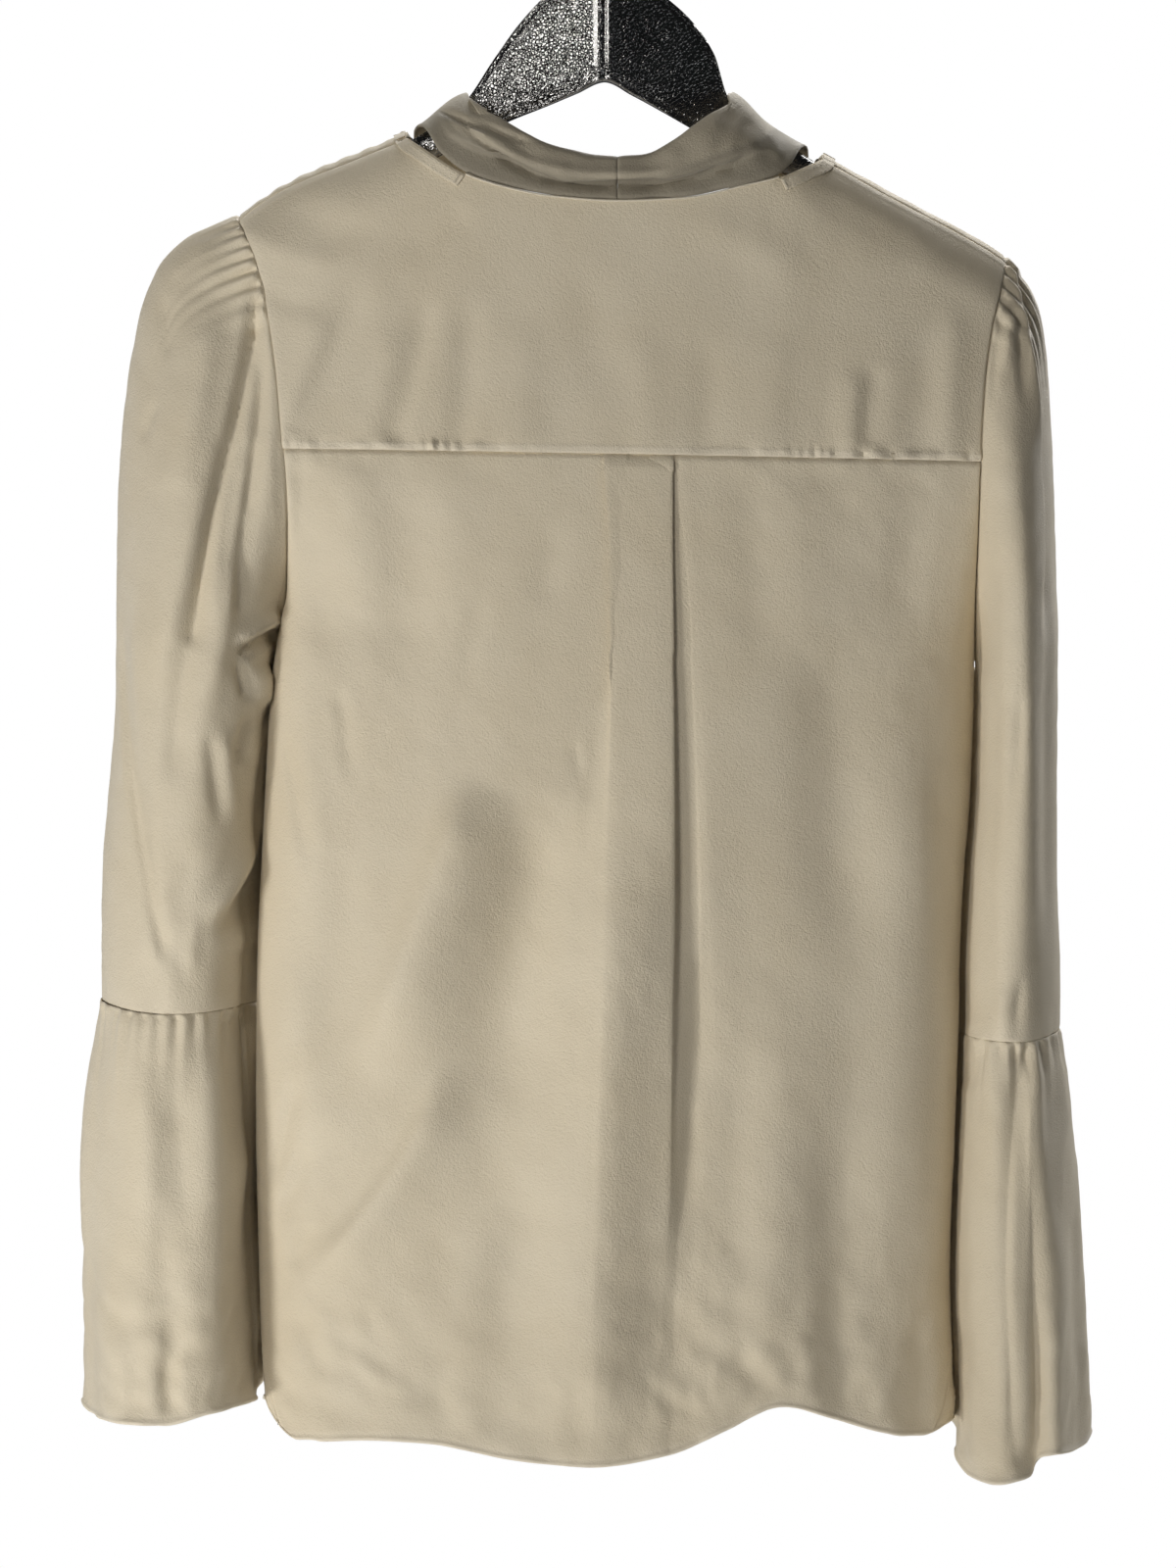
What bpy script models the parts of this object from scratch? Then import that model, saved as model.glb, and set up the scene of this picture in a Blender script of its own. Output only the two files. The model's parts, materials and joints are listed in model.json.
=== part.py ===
"""A silk blouse with a neck tie and flounced sleeves, hung on a leather-covered hanger.

Metres, +Z up. The garment's back faces -Y and the wearer's right is +X. The origin is the inside
top of the hanger's hook, where a rail would carry it. Every table below is in millimetres, with
left and right as the wearer's own.
"""

import math
from bisect import bisect_right
from collections import namedtuple

import bmesh
import bpy
from mathutils import Vector
from mathutils.bvhtree import BVHTree

MM = 0.001

# Driving sizes, in millimetres
CLOTH = 1.2              # wall of every single layer of cloth
DOUBLE_CLOTH = 1.5       # wall of the neck tie, which is cut double
SEAM_GAP = 0.3           # space left at each sewn edge
ROUND_SEAM_GAP = 0.9     # the same where the cloth turns at the seam, for its inner faces' sake
LAY_GAP = 2.4            # space under a strip that lies on a panel
TIE_CLEAR = 7.8          # how far the tie's outer face stands over the front it hangs on
CREST_ROUND = 35.0       # drop over which the cloth rounds off the hanger
SEAM_DROP = 3.5          # how far below the crest the shoulder seams run, behind it
BOW = 14.0               # how far the hanger's ends reach forward
BOW_SPAN = 190.0         # half-width at which the bow is measured
HOOK_WIRE = 4.0          # diameter of the hook's wire
HOOK_INSIDE = 20.0       # inside radius of the hook
STEM_FOOT = -85.7        # height at which the hook meets the top of the hanger
YOKE_EDGE_Z = -335.0     # height from which the armhole narrows to the underarm
BODY_SQUARE = 0.375      # how square the body is across: 0.5 is a plain ellipse, 0 a box
FOLD_RUN = 0.7           # how soon a fold reaches its full height: 1 is a plain half wave
FOLD_FADE = 6.0          # how quickly folds grow inwards from the body's sides
SEAM_SHARE = 0.55        # part of a sleeve's swing made close to its seam
SEAM_SWING = 12.0        # drop over which that part is made
SIDE_SWING = 18.0        # drop over which the rest is made at the underarm
HEAD_SWING = 70.0        # the same over the sleeve's head
FLOUNCE_SWING = 8.0      # how quickly a flounce's folds grow below its seam
ARM_SQUARE = 0.6         # how square the hanger's section is through it
ARM_TALL_SQUARE = 0.7    # the same up and down
NECK_MARGIN = 0.01       # how far inside the neck points the neck's edge is taken to start
SMOOTH_ANGLE = 50.0      # degrees between two faces above which their edge stays sharp

# The hook's stem from its foot up, and the angles round its bend, from the stem to the tip
Bend = namedtuple("Bend", "x z")
HOOK_STEM = [Bend(0, STEM_FOOT), Bend(0, -72), Bend(0, -56), Bend(3, -48), Bend(9.5, -41.5)]
HOOK_TURNS = range(-45, 196, 15)

# The outline of the shoulders and of the tie where it rides over the hanger
Crest = namedtuple("Crest", "x z")
CREST = [
    Crest(-192, -215.5), Crest(-188.5, -212.5), Crest(-166, -196.5), Crest(-123.5, -179),
    Crest(-101, -169.5), Crest(-71, -148.5), Crest(-30, -141), Crest(0, -140),
    Crest(30, -141), Crest(65.5, -149), Crest(84, -164), Crest(104, -177),
    Crest(112, -181), Crest(144, -198.5), Crest(196.5, -226.5), Crest(205.5, -232.5),
    Crest(209, -235),
]

# Each side's armhole seam, and the side seam under it
Side = namedtuple("Side", "z x")
LEFT_SIDE = [
    Side(-213.5, -188.5), Side(-227.5, -181), Side(-252.5, -174.5), Side(-290, -168.3),
    Side(-335, -163.2), Side(-370, -161.5), Side(-402, -162), Side(-427.5, -167),
    Side(-450, -170.5), Side(-510, -174), Side(-602, -178), Side(-677, -178.5),
    Side(-752, -177), Side(-815, -174.5), Side(-850, -172),
]
RIGHT_SIDE = [
    Side(-233.5, 205.5), Side(-247, 203.2), Side(-272.5, 197.5), Side(-300, 193.8),
    Side(-338.5, 191.5), Side(-382, 190), Side(-412, 189.3), Side(-440, 189.3),
    Side(-510, 187), Side(-552, 183.5), Side(-602, 181), Side(-677, 178),
    Side(-752, 176.8), Side(-828, 179), Side(-850, 179),
]

# Heights of the seams at the two sides: 0 shoulder, 1 yoke seam, 2 underarm, 3 hem
Level = namedtuple("Level", "station left right")
LEVELS = [
    Level(0, -216, -236), Level(1, -332, -338.5),
    Level(2, -427.5, -440), Level(3, -813, -826),
]

# Half-depth of the body: at the middle, back and front, and at the armhole seams
Depth = namedtuple("Depth", "z back front edge")
DEPTHS = [
    Depth(-140, 26, 26, 19), Depth(-200, 29, 30, 20), Depth(-260, 32, 36, 27),
    Depth(-335, 37, 43, 34), Depth(-430, 42, 48, 34), Depth(-560, 45, 52, 34),
    Depth(-700, 48, 54, 34), Depth(-850, 51, 55, 34),
]

Edge = namedtuple("Edge", "x z")
BACK_NECK = [
    Edge(-101, -173), Edge(-70, -193), Edge(-48.5, -200), Edge(-28.5, -204), Edge(6.5, -206.5),
    Edge(41.5, -205), Edge(71.5, -198.5), Edge(88, -194.5), Edge(111, -184),
]
FRONT_NECK = [
    Edge(-101, -169.5), Edge(-98.6, -171.5), Edge(-95, -177), Edge(-90, -186), Edge(-60, -225),
    Edge(-30, -266), Edge(5, -312), Edge(40, -268), Edge(70, -228), Edge(100, -194),
    Edge(105, -187), Edge(108.6, -182.2), Edge(111, -181),
]
BACK_HEM = [
    Edge(-174.5, -813), Edge(-171, -822), Edge(-158.5, -835), Edge(-118.5, -833.5),
    Edge(-88.5, -835), Edge(-48.5, -842.5), Edge(-8.5, -846), Edge(31.5, -840),
    Edge(61.5, -827.5), Edge(89, -816), Edge(116.5, -822.5), Edge(141.5, -830),
    Edge(161.5, -832.5), Edge(179, -826),
]
FRONT_HEM = [
    Edge(-174.5, -813), Edge(-150, -822), Edge(-80, -826), Edge(0, -826), Edge(60, -818),
    Edge(100, -812), Edge(140, -820), Edge(179, -826),
]

# Soft folds of the body, each a run from a top point to a bottom point; out is above the cloth
Fold = namedtuple("Fold", "x_top z_top x_low z_low width out")
BACK_FOLDS = [
    Fold(-110, -560, -160, -790, 22, -7), Fold(-70, -590, -125, -760, 16, 5),
    Fold(-60, -610, -110, -700, 12, -5), Fold(60, -620, 44, -790, 20, -4),
    Fold(120, -520, 150, -800, 30, 5),
]
FRONT_FOLDS = [
    Fold(-120, -230, -135, -560, 16, 5), Fold(-95, -260, -105, -520, 12, -4),
    Fold(130, -240, 145, -600, 18, 5), Fold(95, -330, 110, -620, 14, -4),
    Fold(30, -420, 45, -800, 26, 6), Fold(-40, -430, -60, -800, 24, 5),
]

# The centre pleat: the raised panel's edges and the far edge of its open right-hand fold
Pleat = namedtuple("Pleat", "z left right open fold rise")
PLEAT = [
    Pleat(-336, 0.0, 34.5, 36.5, 11, 3.6), Pleat(-382, 2.5, 34.5, 41.5, 10, 4.2),
    Pleat(-422, 2.5, 35, 44.5, 9, 4.6), Pleat(-482, 1.5, 35.5, 46.5, 6.5, 5.2),
    Pleat(-560, -1, 36, 48, 3, 5.6), Pleat(-620, -3, 35, 48, 1.0, 5.0),
    Pleat(-700, -4, 32, 45, 0.4, 3.2), Pleat(-850, -6, 28, 44, 0.3, 1.0),
]
# Across the pleat: how far along each edge, and the level between the under layer and the top
PleatStep = namedtuple("PleatStep", "edge offset tuck level")
PLEAT_STEPS = [
    PleatStep("left", -2.0, 0.0, 0.0), PleatStep("left", 0.0, 1.0, 0.10),
    PleatStep("left", 0.6, 1.0, 0.50), PleatStep("left", 0.0, 0.0, 0.90),
    PleatStep("left", 1.2, 0.0, 1.0), PleatStep("right", -10.0, 0.0, 1.0),
    PleatStep("right", -1.2, 0.0, 1.0), PleatStep("right", 0.0, 0.0, 0.75),
    PleatStep("right", -0.8, -1.0, 0.28), PleatStep("right", 0.0, -1.0, -0.25),
    PleatStep("open", -2.2, 0.0, -0.35), PleatStep("open", 0.0, 0.0, -0.1),
    PleatStep("open", 2.5, 0.0, 0.0),
]

# Each sleeve from the underarm's height down: outline, inner edge and half-depth
Tube = namedtuple("Tube", "z outer inner depth")
LEFT_TUBE = [
    Tube(-213, -253, -170, 40), Tube(-330, -254, -170, 46), Tube(-402, -252.5, -171, 49),
    Tube(-450, -252, -173.5, 50), Tube(-502, -254.5, -178.5, 48), Tube(-552, -257.5, -182, 46),
    Tube(-602, -258, -185, 44), Tube(-625, -258, -187, 43),
]
RIGHT_TUBE = [
    Tube(-233, 233.5, 196, 42), Tube(-330, 233.5, 194, 54), Tube(-402, 233, 193, 58),
    Tube(-450, 232.8, 192, 58), Tube(-502, 232.6, 190.5, 56), Tube(-552, 232.6, 187, 54),
    Tube(-602, 233.5, 184.5, 51), Tube(-640, 233, 184, 49),
]
# Each flounce from its seam to its hem
LEFT_FLARE = [
    Tube(-600, -258, -187, 43), Tube(-613, -259, -187, 43), Tube(-627, -262, -186, 45),
    Tube(-652, -265.5, -184.5, 49), Tube(-677, -267, -183, 52), Tube(-727, -268, -181.5, 55),
    Tube(-780, -267.5, -180.5, 57), Tube(-830, -268, -178.5, 58),
]
RIGHT_FLARE = [
    Tube(-620, 233, 184, 49), Tube(-634, 234, 184, 49), Tube(-652, 237.5, 183, 52),
    Tube(-677, 240.5, 181.5, 55), Tube(-702, 244, 180.5, 57), Tube(-752, 247, 180, 60),
    Tube(-802, 249, 181.5, 61), Tube(-856, 249.5, 181.5, 61),
]
# A ring's height all round, by the angle from the inner edge towards the front
Rim = namedtuple("Rim", "angle z")
LEFT_CUFF = [Rim(0, -615), Rim(90, -610), Rim(180, -612.5), Rim(270, -619.5), Rim(360, -615)]
RIGHT_CUFF = [Rim(0, -630), Rim(90, -626), Rim(180, -627.5), Rim(270, -633.5), Rim(360, -630)]
LEFT_HEM = [
    Rim(0, -815), Rim(60, -819), Rim(120, -822), Rim(180, -817.5), Rim(200, -822),
    Rim(245, -825.5), Rim(270, -826), Rim(300, -820), Rim(330, -816.5), Rim(360, -815),
]
RIGHT_HEM = [
    Rim(0, -843), Rim(60, -838), Rim(120, -834), Rim(180, -832), Rim(215, -839),
    Rim(258, -841.5), Rim(272, -852), Rim(300, -855.5), Rim(335, -853), Rim(360, -843),
]
# Folds that run down a flounce: where round it, how wide, and how deep at the seam and the hem
Wave = namedtuple("Wave", "angle spread top low")
LEFT_WAVES = [
    Wave(35, 16, 1.0, -5.0), Wave(85, 18, -1.5, 5.0), Wave(135, 16, 1.0, -5.0),
    Wave(205, 13, -1.5, -3.0), Wave(238, 14, 1.5, 3.0), Wave(272, 12, -1.5, -4.0),
    Wave(310, 14, 1.0, 3.0),
]
RIGHT_WAVES = [
    Wave(30, 14, 1.0, 4.0), Wave(70, 16, -1.0, -6.0), Wave(115, 16, 1.0, 5.0),
    Wave(160, 14, -1.0, -5.0), Wave(215, 12, -1.0, -5.0), Wave(244, 12, 0.5, 4.0),
    Wave(266, 9, -2.5, -13.0), Wave(296, 15, 1.0, 5.0), Wave(335, 12, -0.5, -3.0),
]

# The largest folds of the sleeves, in the same way, from the head to the flounce
LEFT_SLEEVE_WAVES = [
    Wave(300, 13, -3.5, 0.0), Wave(268, 12, 2.0, -2.0), Wave(238, 14, -0.5, -3.0),
    Wave(60, 16, -3.0, 0.0), Wave(120, 15, 0.5, -3.0),
]
RIGHT_SLEEVE_WAVES = [
    Wave(225, 12, -3.5, -1.5), Wave(262, 13, 2.0, 1.0), Wave(312, 12, -2.5, -1.0),
    Wave(55, 15, -3.0, 0.0), Wave(115, 16, 0.0, -3.0),
]

# The neck tie from the centre back outwards. Side is -1 behind the crest, 0 on it and 1 in front.
Band = namedtuple("Band", "side low_x low_z top_x top_z roll")
LEFT_BAND = [
    Band(-1, 6.35, -205.7, 6.35, -184, 1.0), Band(-1, -9, -205, -8, -182.5, 1.0),
    Band(-1, -28.5, -203, -27, -177.5, 0.9), Band(-1, -48.5, -199, -46, -166.5, 0.55),
    Band(-1, -70, -191.8, -58, -157.5, 0.2), Band(-1, -83.5, -181.4, -65, -153, 0.0),
    Band(0, -96.5, -167, -71, -148.5, 0.0), Band(1, -98.5, -180, -68, -162, 0.0),
    Band(1, -103, -205, -63, -190, 0.0), Band(1, -104, -240, -60, -232, 0.0),
    Band(1, -104, -330, -60, -326, 0.0), Band(1, -103, -450, -59, -450, 0.0),
    Band(1, -104, -580, -60, -580, 0.0), Band(1, -106, -710, -62, -710, 0.0),
    Band(1, -107, -820, -63, -822, 0.0),
]
RIGHT_BAND = [
    Band(-1, 6.65, -205.7, 6.65, -184, 1.0), Band(-1, 24, -205.2, 22, -181.5, 1.0),
    Band(-1, 41.5, -204.2, 36, -174, 0.9), Band(-1, 60, -200.4, 47, -165, 0.5),
    Band(-1, 87, -193.2, 60, -152.5, 0.1), Band(-1, 95, -186.5, 63, -150.5, 0.0),
    Band(0, 103.5, -176.7, 65.5, -149, 0.0), Band(1, 105, -189, 65, -163, 0.0),
    Band(1, 106.5, -213, 64, -192, 0.0), Band(1, 107.5, -246, 63.5, -236, 0.0),
    Band(1, 108, -330, 64, -328, 0.0), Band(1, 107, -450, 63, -450, 0.0),
    Band(1, 107.5, -580, 63.5, -580, 0.0), Band(1, 108, -710, 64, -710, 0.0),
    Band(1, 108.5, -829, 64.5, -826, 0.0),
]
# Section of the tie at the centre back: it stands, rolls out and turns over its own top edge
Roll = namedtuple("Roll", "out up straight")
TIE_ROLL = [
    Roll(0.0, 0.0, 0.0), Roll(-1.2, 7.5, 0.17), Roll(3.2, 11.0, 0.33), Roll(5.2, 15.5, 0.5),
    Roll(3.4, 21.0, 0.66), Roll(0.0, 22.5, 0.78), Roll(-3.2, 20.5, 0.89), Roll(-4.2, 13.5, 1.0),
]
TIE_TOP = 22.5           # height of the rolled tie at the centre back

# The free neck edge that each strip is sewn to, from the slit to the centre front
Strip = namedtuple("Strip", "side x z in_x in_z")
LEFT_STRIP = [
    Strip(-1, -71, -194.0, -74.5, -199.0), Strip(-1, -80.3, -188.6, -83.8, -193.5),
    Strip(-1, -90.7, -181.5, -94.2, -186.2), Strip(-1, -99.5, -175.4, -103.6, -179.6),
    Strip(-1, -101.6, -172.4, -107, -174.6), Strip(0, -101.6, -170, -107.4, -173),
    Strip(1, -101.6, -172.4, -107, -174.6), Strip(1, -99.8, -174.8, -105.2, -178),
    Strip(1, -96, -178.6, -101.4, -182.2), Strip(1, -90.8, -187.4, -95.9, -190.9),
    Strip(1, -72, -211.8, -77, -215.2), Strip(1, -53, -236.5, -58, -239.9),
    Strip(1, -34, -262.7, -39, -266), Strip(1, -15, -293.1, -19.8, -296.7),
    Strip(1, 4.2, -314.5, 4.2, -322),
]
RIGHT_STRIP = [
    Strip(-1, 89, -195.6, 91.8, -200.9), Strip(-1, 95.7, -192.9, 98.7, -198.1),
    Strip(-1, 103.3, -189.1, 106.6, -194.1), Strip(-1, 109.8, -186, 114.6, -190.2),
    Strip(-1, 111.6, -183.4, 117.2, -186.4), Strip(0, 111.6, -181, 117.4, -184),
    Strip(1, 111.6, -183.4, 117.2, -186.4), Strip(1, 109.6, -185.4, 115.4, -189),
    Strip(1, 105.8, -189.4, 111.2, -193.2), Strip(1, 101, -195.4, 106, -199),
    Strip(1, 82, -216.2, 87, -219.6), Strip(1, 63, -239, 68, -242.4),
    Strip(1, 44, -264.8, 49, -268.1), Strip(1, 25, -294, 29.8, -297.6),
    Strip(1, 5.8, -314.5, 5.8, -322),
]

# The hanger's outline: its upper edge, its lower edge and its half-thickness
Arm = namedtuple("Arm", "x top low half")
ARMS = [
    Arm(-184, -217.5, -224, 6), Arm(-180, -211.5, -229, 9.5), Arm(-166, -200.5, -222, 11.5),
    Arm(-123.5, -183, -201, 12), Arm(-101, -174.5, -190.5, 10), Arm(-72, -154.5, -175.5, 9),
    Arm(-55.5, -131, -167, 8.5), Arm(-44, -115, -162, 8), Arm(-30, -100, -156.5, 8),
    Arm(-14, -88.5, -149.8, 8), Arm(0, -86, -144, 8), Arm(14, -88.5, -150.8, 8),
    Arm(30, -100, -159.5, 8), Arm(44, -112.5, -167.5, 8), Arm(56, -130, -174, 8),
    Arm(63, -151.5, -178, 8), Arm(72, -158, -182, 9), Arm(104, -182.5, -197, 10),
    Arm(144, -202.5, -219, 12),
    Arm(185, -224, -241, 11.5), Arm(199, -231.5, -248, 9.5), Arm(203, -236, -244, 6),
]

# Rows of each panel, as parts of the way between two seams
YOKE_ROWS = (0.0, 0.045, 0.12, 0.25, 0.45, 0.72, 1.0)
ARM_ROWS = (0.0, 0.3, 0.58, 0.8, 0.93, 1.0)
SKIRT_ROWS = (0.0, 0.07, 0.25, 0.5, 0.75, 0.93, 1.0)
SLEEVE_ROWS = (0.0, 0.03, 0.08, 0.16, 0.27, 0.42, 0.6, 0.8, 1.0)
FLOUNCE_ROWS = (0.0, 0.08, 0.2, 0.42, 0.7, 1.0)
FLOUNCE_STEPS = 36
BINDING_STEPS = 2
CREST_PARTS = (-1.0, -0.5, 0.0, 0.5)   # the front's rows over the hanger
NECK_STEP = 0.5                        # drop between those rows at the neck edge
ARM_STEPS = 14
PLEAT_SIDE_STEPS = 8     # columns of the back on each side of its pleat

# Columns of the yoke and the front: the X each stretch runs to on the shoulder line, and its steps
Stretch = namedtuple("Stretch", "x steps")
YOKE_COLUMNS = [
    Stretch(-101, 5), Stretch(-70, 3), Stretch(6.5, 3), Stretch(88, 3), Stretch(111, 3),
    Stretch(205.5, 5),
]
FRONT_COLUMNS = [
    Stretch(-101, 4), Stretch(-98.6, 1), Stretch(-95, 1), Stretch(-90, 1), Stretch(5, 5),
    Stretch(100, 5), Stretch(105, 1), Stretch(108.6, 1), Stretch(111, 1), Stretch(205.5, 4),
]

# What each piece is made of, with its colour as linear red, green, blue
Look = namedtuple("Look", "stuff colour roughness metallic")
SILK = Look("silk_crepe", (0.62, 0.56, 0.45), 0.62, 0.0)
LEATHER = Look("black_leather", (0.012, 0.012, 0.013), 0.35, 0.0)
STEEL = Look("steel_wire", (0.55, 0.55, 0.56), 0.3, 1.0)


def smooth(rows, key, column, at):
    """A table's column at any place between its rows, on a smooth curve that never overshoots."""
    rows = sorted(rows, key=lambda row: getattr(row, key))
    keys = [getattr(row, key) for row in rows]
    values = [getattr(row, column) for row in rows]
    at = min(max(at, keys[0]), keys[-1])
    i = min(bisect_right(keys, at) - 1, len(keys) - 2)

    def rise(j):
        return (values[j + 1] - values[j]) / (keys[j + 1] - keys[j])

    def slope(j):
        if j == 0 or j == len(keys) - 1:
            return rise(min(j, len(keys) - 2))
        before, after = rise(j - 1), rise(j)
        return 0.0 if before * after <= 0 else 2 * before * after / (before + after)

    span = keys[i + 1] - keys[i]
    t = (at - keys[i]) / span
    return (
        values[i] * (1 + 2 * t) * (1 - t) ** 2
        + values[i + 1] * t * t * (3 - 2 * t)
        + slope(i) * span * t * (1 - t) ** 2
        - slope(i + 1) * span * t * t * (1 - t)
    )


def mix(a, b, t):
    return a + (b - a) * t


def ease(t):
    t = min(max(t, 0.0), 1.0)
    return t * t * (3 - 2 * t)


def bowed(x, y, z):
    """A point given in millimetres on a straight hanger, moved onto the bowed one, in metres."""
    return Vector((x, y + BOW * (x / BOW_SPAN) ** 2, z)) * MM


def crest(x):
    return smooth(CREST, "x", "z", x)


def rounding(drop):
    """0 on the crest, 1 where the cloth hangs plumb."""
    return math.sqrt(max(0.0, 1 - (1 - min(max(drop, 0.0), CREST_ROUND) / CREST_ROUND) ** 2))


def fold_out(folds, x, z):
    """How far the folds lift the cloth at a place on the body."""
    out = 0.0
    for fold in folds:
        t = (z - fold.z_top) / (fold.z_low - fold.z_top)
        if not 0 < t < 1:
            continue
        across = (x - mix(fold.x_top, fold.x_low, t)) / fold.width
        out += fold.out * math.exp(-across * across) * math.sin(math.pi * t) ** FOLD_RUN
    return out


def edge_depth(z, underarm_z):
    """Half-depth of an armhole seam: it narrows to nothing at the underarm."""
    if z <= underarm_z:
        return 0.0
    narrowing = min(max((YOKE_EDGE_Z - z) / (YOKE_EDGE_Z - underarm_z), 0.0), 1.0)
    return smooth(DEPTHS, "z", "edge", z) * math.sqrt(1 - narrowing ** 2)


def surface(side, x, z, s, lift=0.0):
    """A point on the body: side -1 back, 1 front; s from -1 at the left edge to 1 at the right."""
    underarm = LEVELS[2].left if s < 0 else LEVELS[2].right
    edge = edge_depth(z, underarm)
    middle = smooth(DEPTHS, "z", "back" if side < 0 else "front", z)
    depth = edge + (middle - edge) * max(0.0, 1 - s * s) ** BODY_SQUARE
    folds = BACK_FOLDS if side < 0 else FRONT_FOLDS
    fade = ease((1 - abs(s)) * FOLD_FADE)
    depth += fold_out(folds, x, z) * fade + lift
    drop = crest(x) - z
    over = rounding(drop)
    return bowed(x, side * depth * over, z + lift * math.sqrt(max(0.0, 1 - over * over)))


def on_body(side, x, z, lift):
    """A point over the body's cloth, from its own width at that height."""
    left = smooth(LEFT_SIDE, "z", "x", z)
    right = smooth(RIGHT_SIDE, "z", "x", z)
    return surface(side, x, z, 2 * (x - left) / (right - left) - 1, lift)


def station_z(station, column):
    i = min(int(station), len(LEVELS) - 2)
    return mix(getattr(LEVELS[i], column), getattr(LEVELS[i + 1], column), station - i)


def shoulder_x(s):
    """X of the shoulder seam at a place across the body from -1 to 1."""
    left = smooth(LEFT_SIDE, "z", "x", LEVELS[0].left)
    right = smooth(RIGHT_SIDE, "z", "x", LEVELS[0].right)
    return mix(left, right, (s + 1) / 2)


def body_place(station, s, top, low):
    """X and Z of the body at a station from 0 to 3, with s from -1 to 1 across it.

    top is the panel's upper edge as a function of X, or None under the yoke seam. low is its hem.
    """
    left_z, right_z = station_z(station, "left"), station_z(station, "right")
    across = (s + 1) / 2
    if station > 2:
        hem_x = mix(LEFT_SIDE[-2].x, RIGHT_SIDE[-2].x, across)
        underarm = mix(LEVELS[2].left, LEVELS[2].right, across)
        z = mix(underarm, smooth(low, "x", "z", hem_x), station - 2)
        left, right = smooth(LEFT_SIDE, "z", "x", z), smooth(RIGHT_SIDE, "z", "x", z)
        return mix(left, right, across), z
    left, right = smooth(LEFT_SIDE, "z", "x", left_z), smooth(RIGHT_SIDE, "z", "x", right_z)
    z = mix(left_z, right_z, across)
    if top is not None and station < 1:
        upper = top(shoulder_x(s))
        yoke = mix(LEVELS[1].left, LEVELS[1].right, across)
        z = mix(upper, yoke, station)
    return mix(left, right, across), z


def in_neck(neck, x):
    """Whether a place on the shoulder line lies inside the neck opening, clear of its ends."""
    return neck[0].x + NECK_MARGIN < x < neck[-1].x - NECK_MARGIN


def neck_or_shoulder(neck):
    """The upper edge of a panel: its neck edge between the neck points, its shoulder seams outside."""

    def top(x):
        if in_neck(neck, x):
            return smooth(neck, "x", "z", x)
        return crest(x) - SEAM_DROP

    return top


def across_of(x):
    """Where a point of the shoulder line lies across the body, from -1 to 1."""
    return 2 * (x - shoulder_x(-1)) / (shoulder_x(1) - shoulder_x(-1)) - 1


def columns(stretches):
    """Places across a panel from -1 to 1, closer together towards its rounded sides."""
    places = [-1.0]
    for stretch in stretches:
        start, end = places[-1], across_of(stretch.x)
        for i in range(1, stretch.steps + 1):
            t = i / stretch.steps
            if stretch is stretches[0]:
                t = 1 - math.cos(math.pi / 2 * t)
            elif stretch is stretches[-1]:
                t = math.sin(math.pi / 2 * t)
            places.append(mix(start, end, t))
    return places


def material(name, look):
    """The piece's own material."""
    made = bpy.data.materials.new(f"{name}_{look.stuff}")
    made.use_nodes = True
    shader = made.node_tree.nodes["Principled BSDF"]
    shader.inputs["Base Color"].default_value = (*look.colour, 1)
    shader.inputs["Roughness"].default_value = look.roughness
    shader.inputs["Metallic"].default_value = look.metallic
    return made


def finish(name, mesh, look):
    """An object from a bmesh, smooth except at its sharp edges."""
    data = bpy.data.meshes.new(name)
    mesh.to_mesh(data)
    mesh.free()
    data.shade_smooth()
    data.set_sharp_from_angle(angle=math.radians(SMOOTH_ANGLE))
    data.materials.append(material(name, look))
    made = bpy.data.objects.new(name, data)
    bpy.context.scene.collection.objects.link(made)
    return made


def cloth(name, rows, thickness=CLOTH, closed=False, flip=False):
    """A wall of cloth whose outer face runs through rows of points, all of one length."""
    mesh = bmesh.new()
    wide = len(rows[0]) - (0 if closed else 1)
    bmesh.ops.create_grid(mesh, x_segments=wide, y_segments=len(rows) - 1, size=1)
    mesh.verts.ensure_lookup_table()
    for j, row in enumerate(rows):
        for i in range(wide + 1):
            mesh.verts[j * (wide + 1) + i].co = row[i % len(row)]
    if closed:
        bmesh.ops.remove_doubles(mesh, verts=mesh.verts, dist=0.00001)
    if flip:
        bmesh.ops.reverse_faces(mesh, faces=mesh.faces)
    bmesh.ops.triangulate(mesh, faces=mesh.faces, quad_method="FIXED")
    made = finish(name, mesh, SILK)
    wall = made.modifiers.new("Wall", "SOLIDIFY")
    wall.thickness = thickness * MM
    wall.offset = -1
    return made


def trimmed(points, first=0.0, last=0.0):
    """A row of points with its ends drawn in along itself by the given lengths."""
    points = list(points)
    for end, inner, length in ((0, 1, first), (-1, -2, last)):
        way = points[inner] - points[end]
        points[end] = points[end] + way.normalized() * length * MM
    return points


def seamed(rows, left=0.0, right=0.0, top=0.0, low=0.0):
    """A panel's points drawn in from its seams by the given lengths."""
    rows = [trimmed(row, left, right) for row in rows]
    turned = [trimmed(column, top, low) for column in zip(*rows)]
    return [list(row) for row in zip(*turned)]


def armhole(side_rows, column):
    """The armhole seam at each row of the panels, from the shoulder to the underarm: X and Z."""
    stations = [*YOKE_ROWS[:-1], *(1 + row for row in ARM_ROWS)]
    heights = [station_z(station, column) for station in stations]
    return [(smooth(side_rows, "z", "x", z), z) for z in heights]


def over_crest(part, s):
    """A point on the front's way over the hanger: part runs from -1, its seam, to 1 in front."""
    x = shoulder_x(s)
    return surface(-1 if part < 0 else 1, x, crest(x) - SEAM_DROP * part * part, s)


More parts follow.
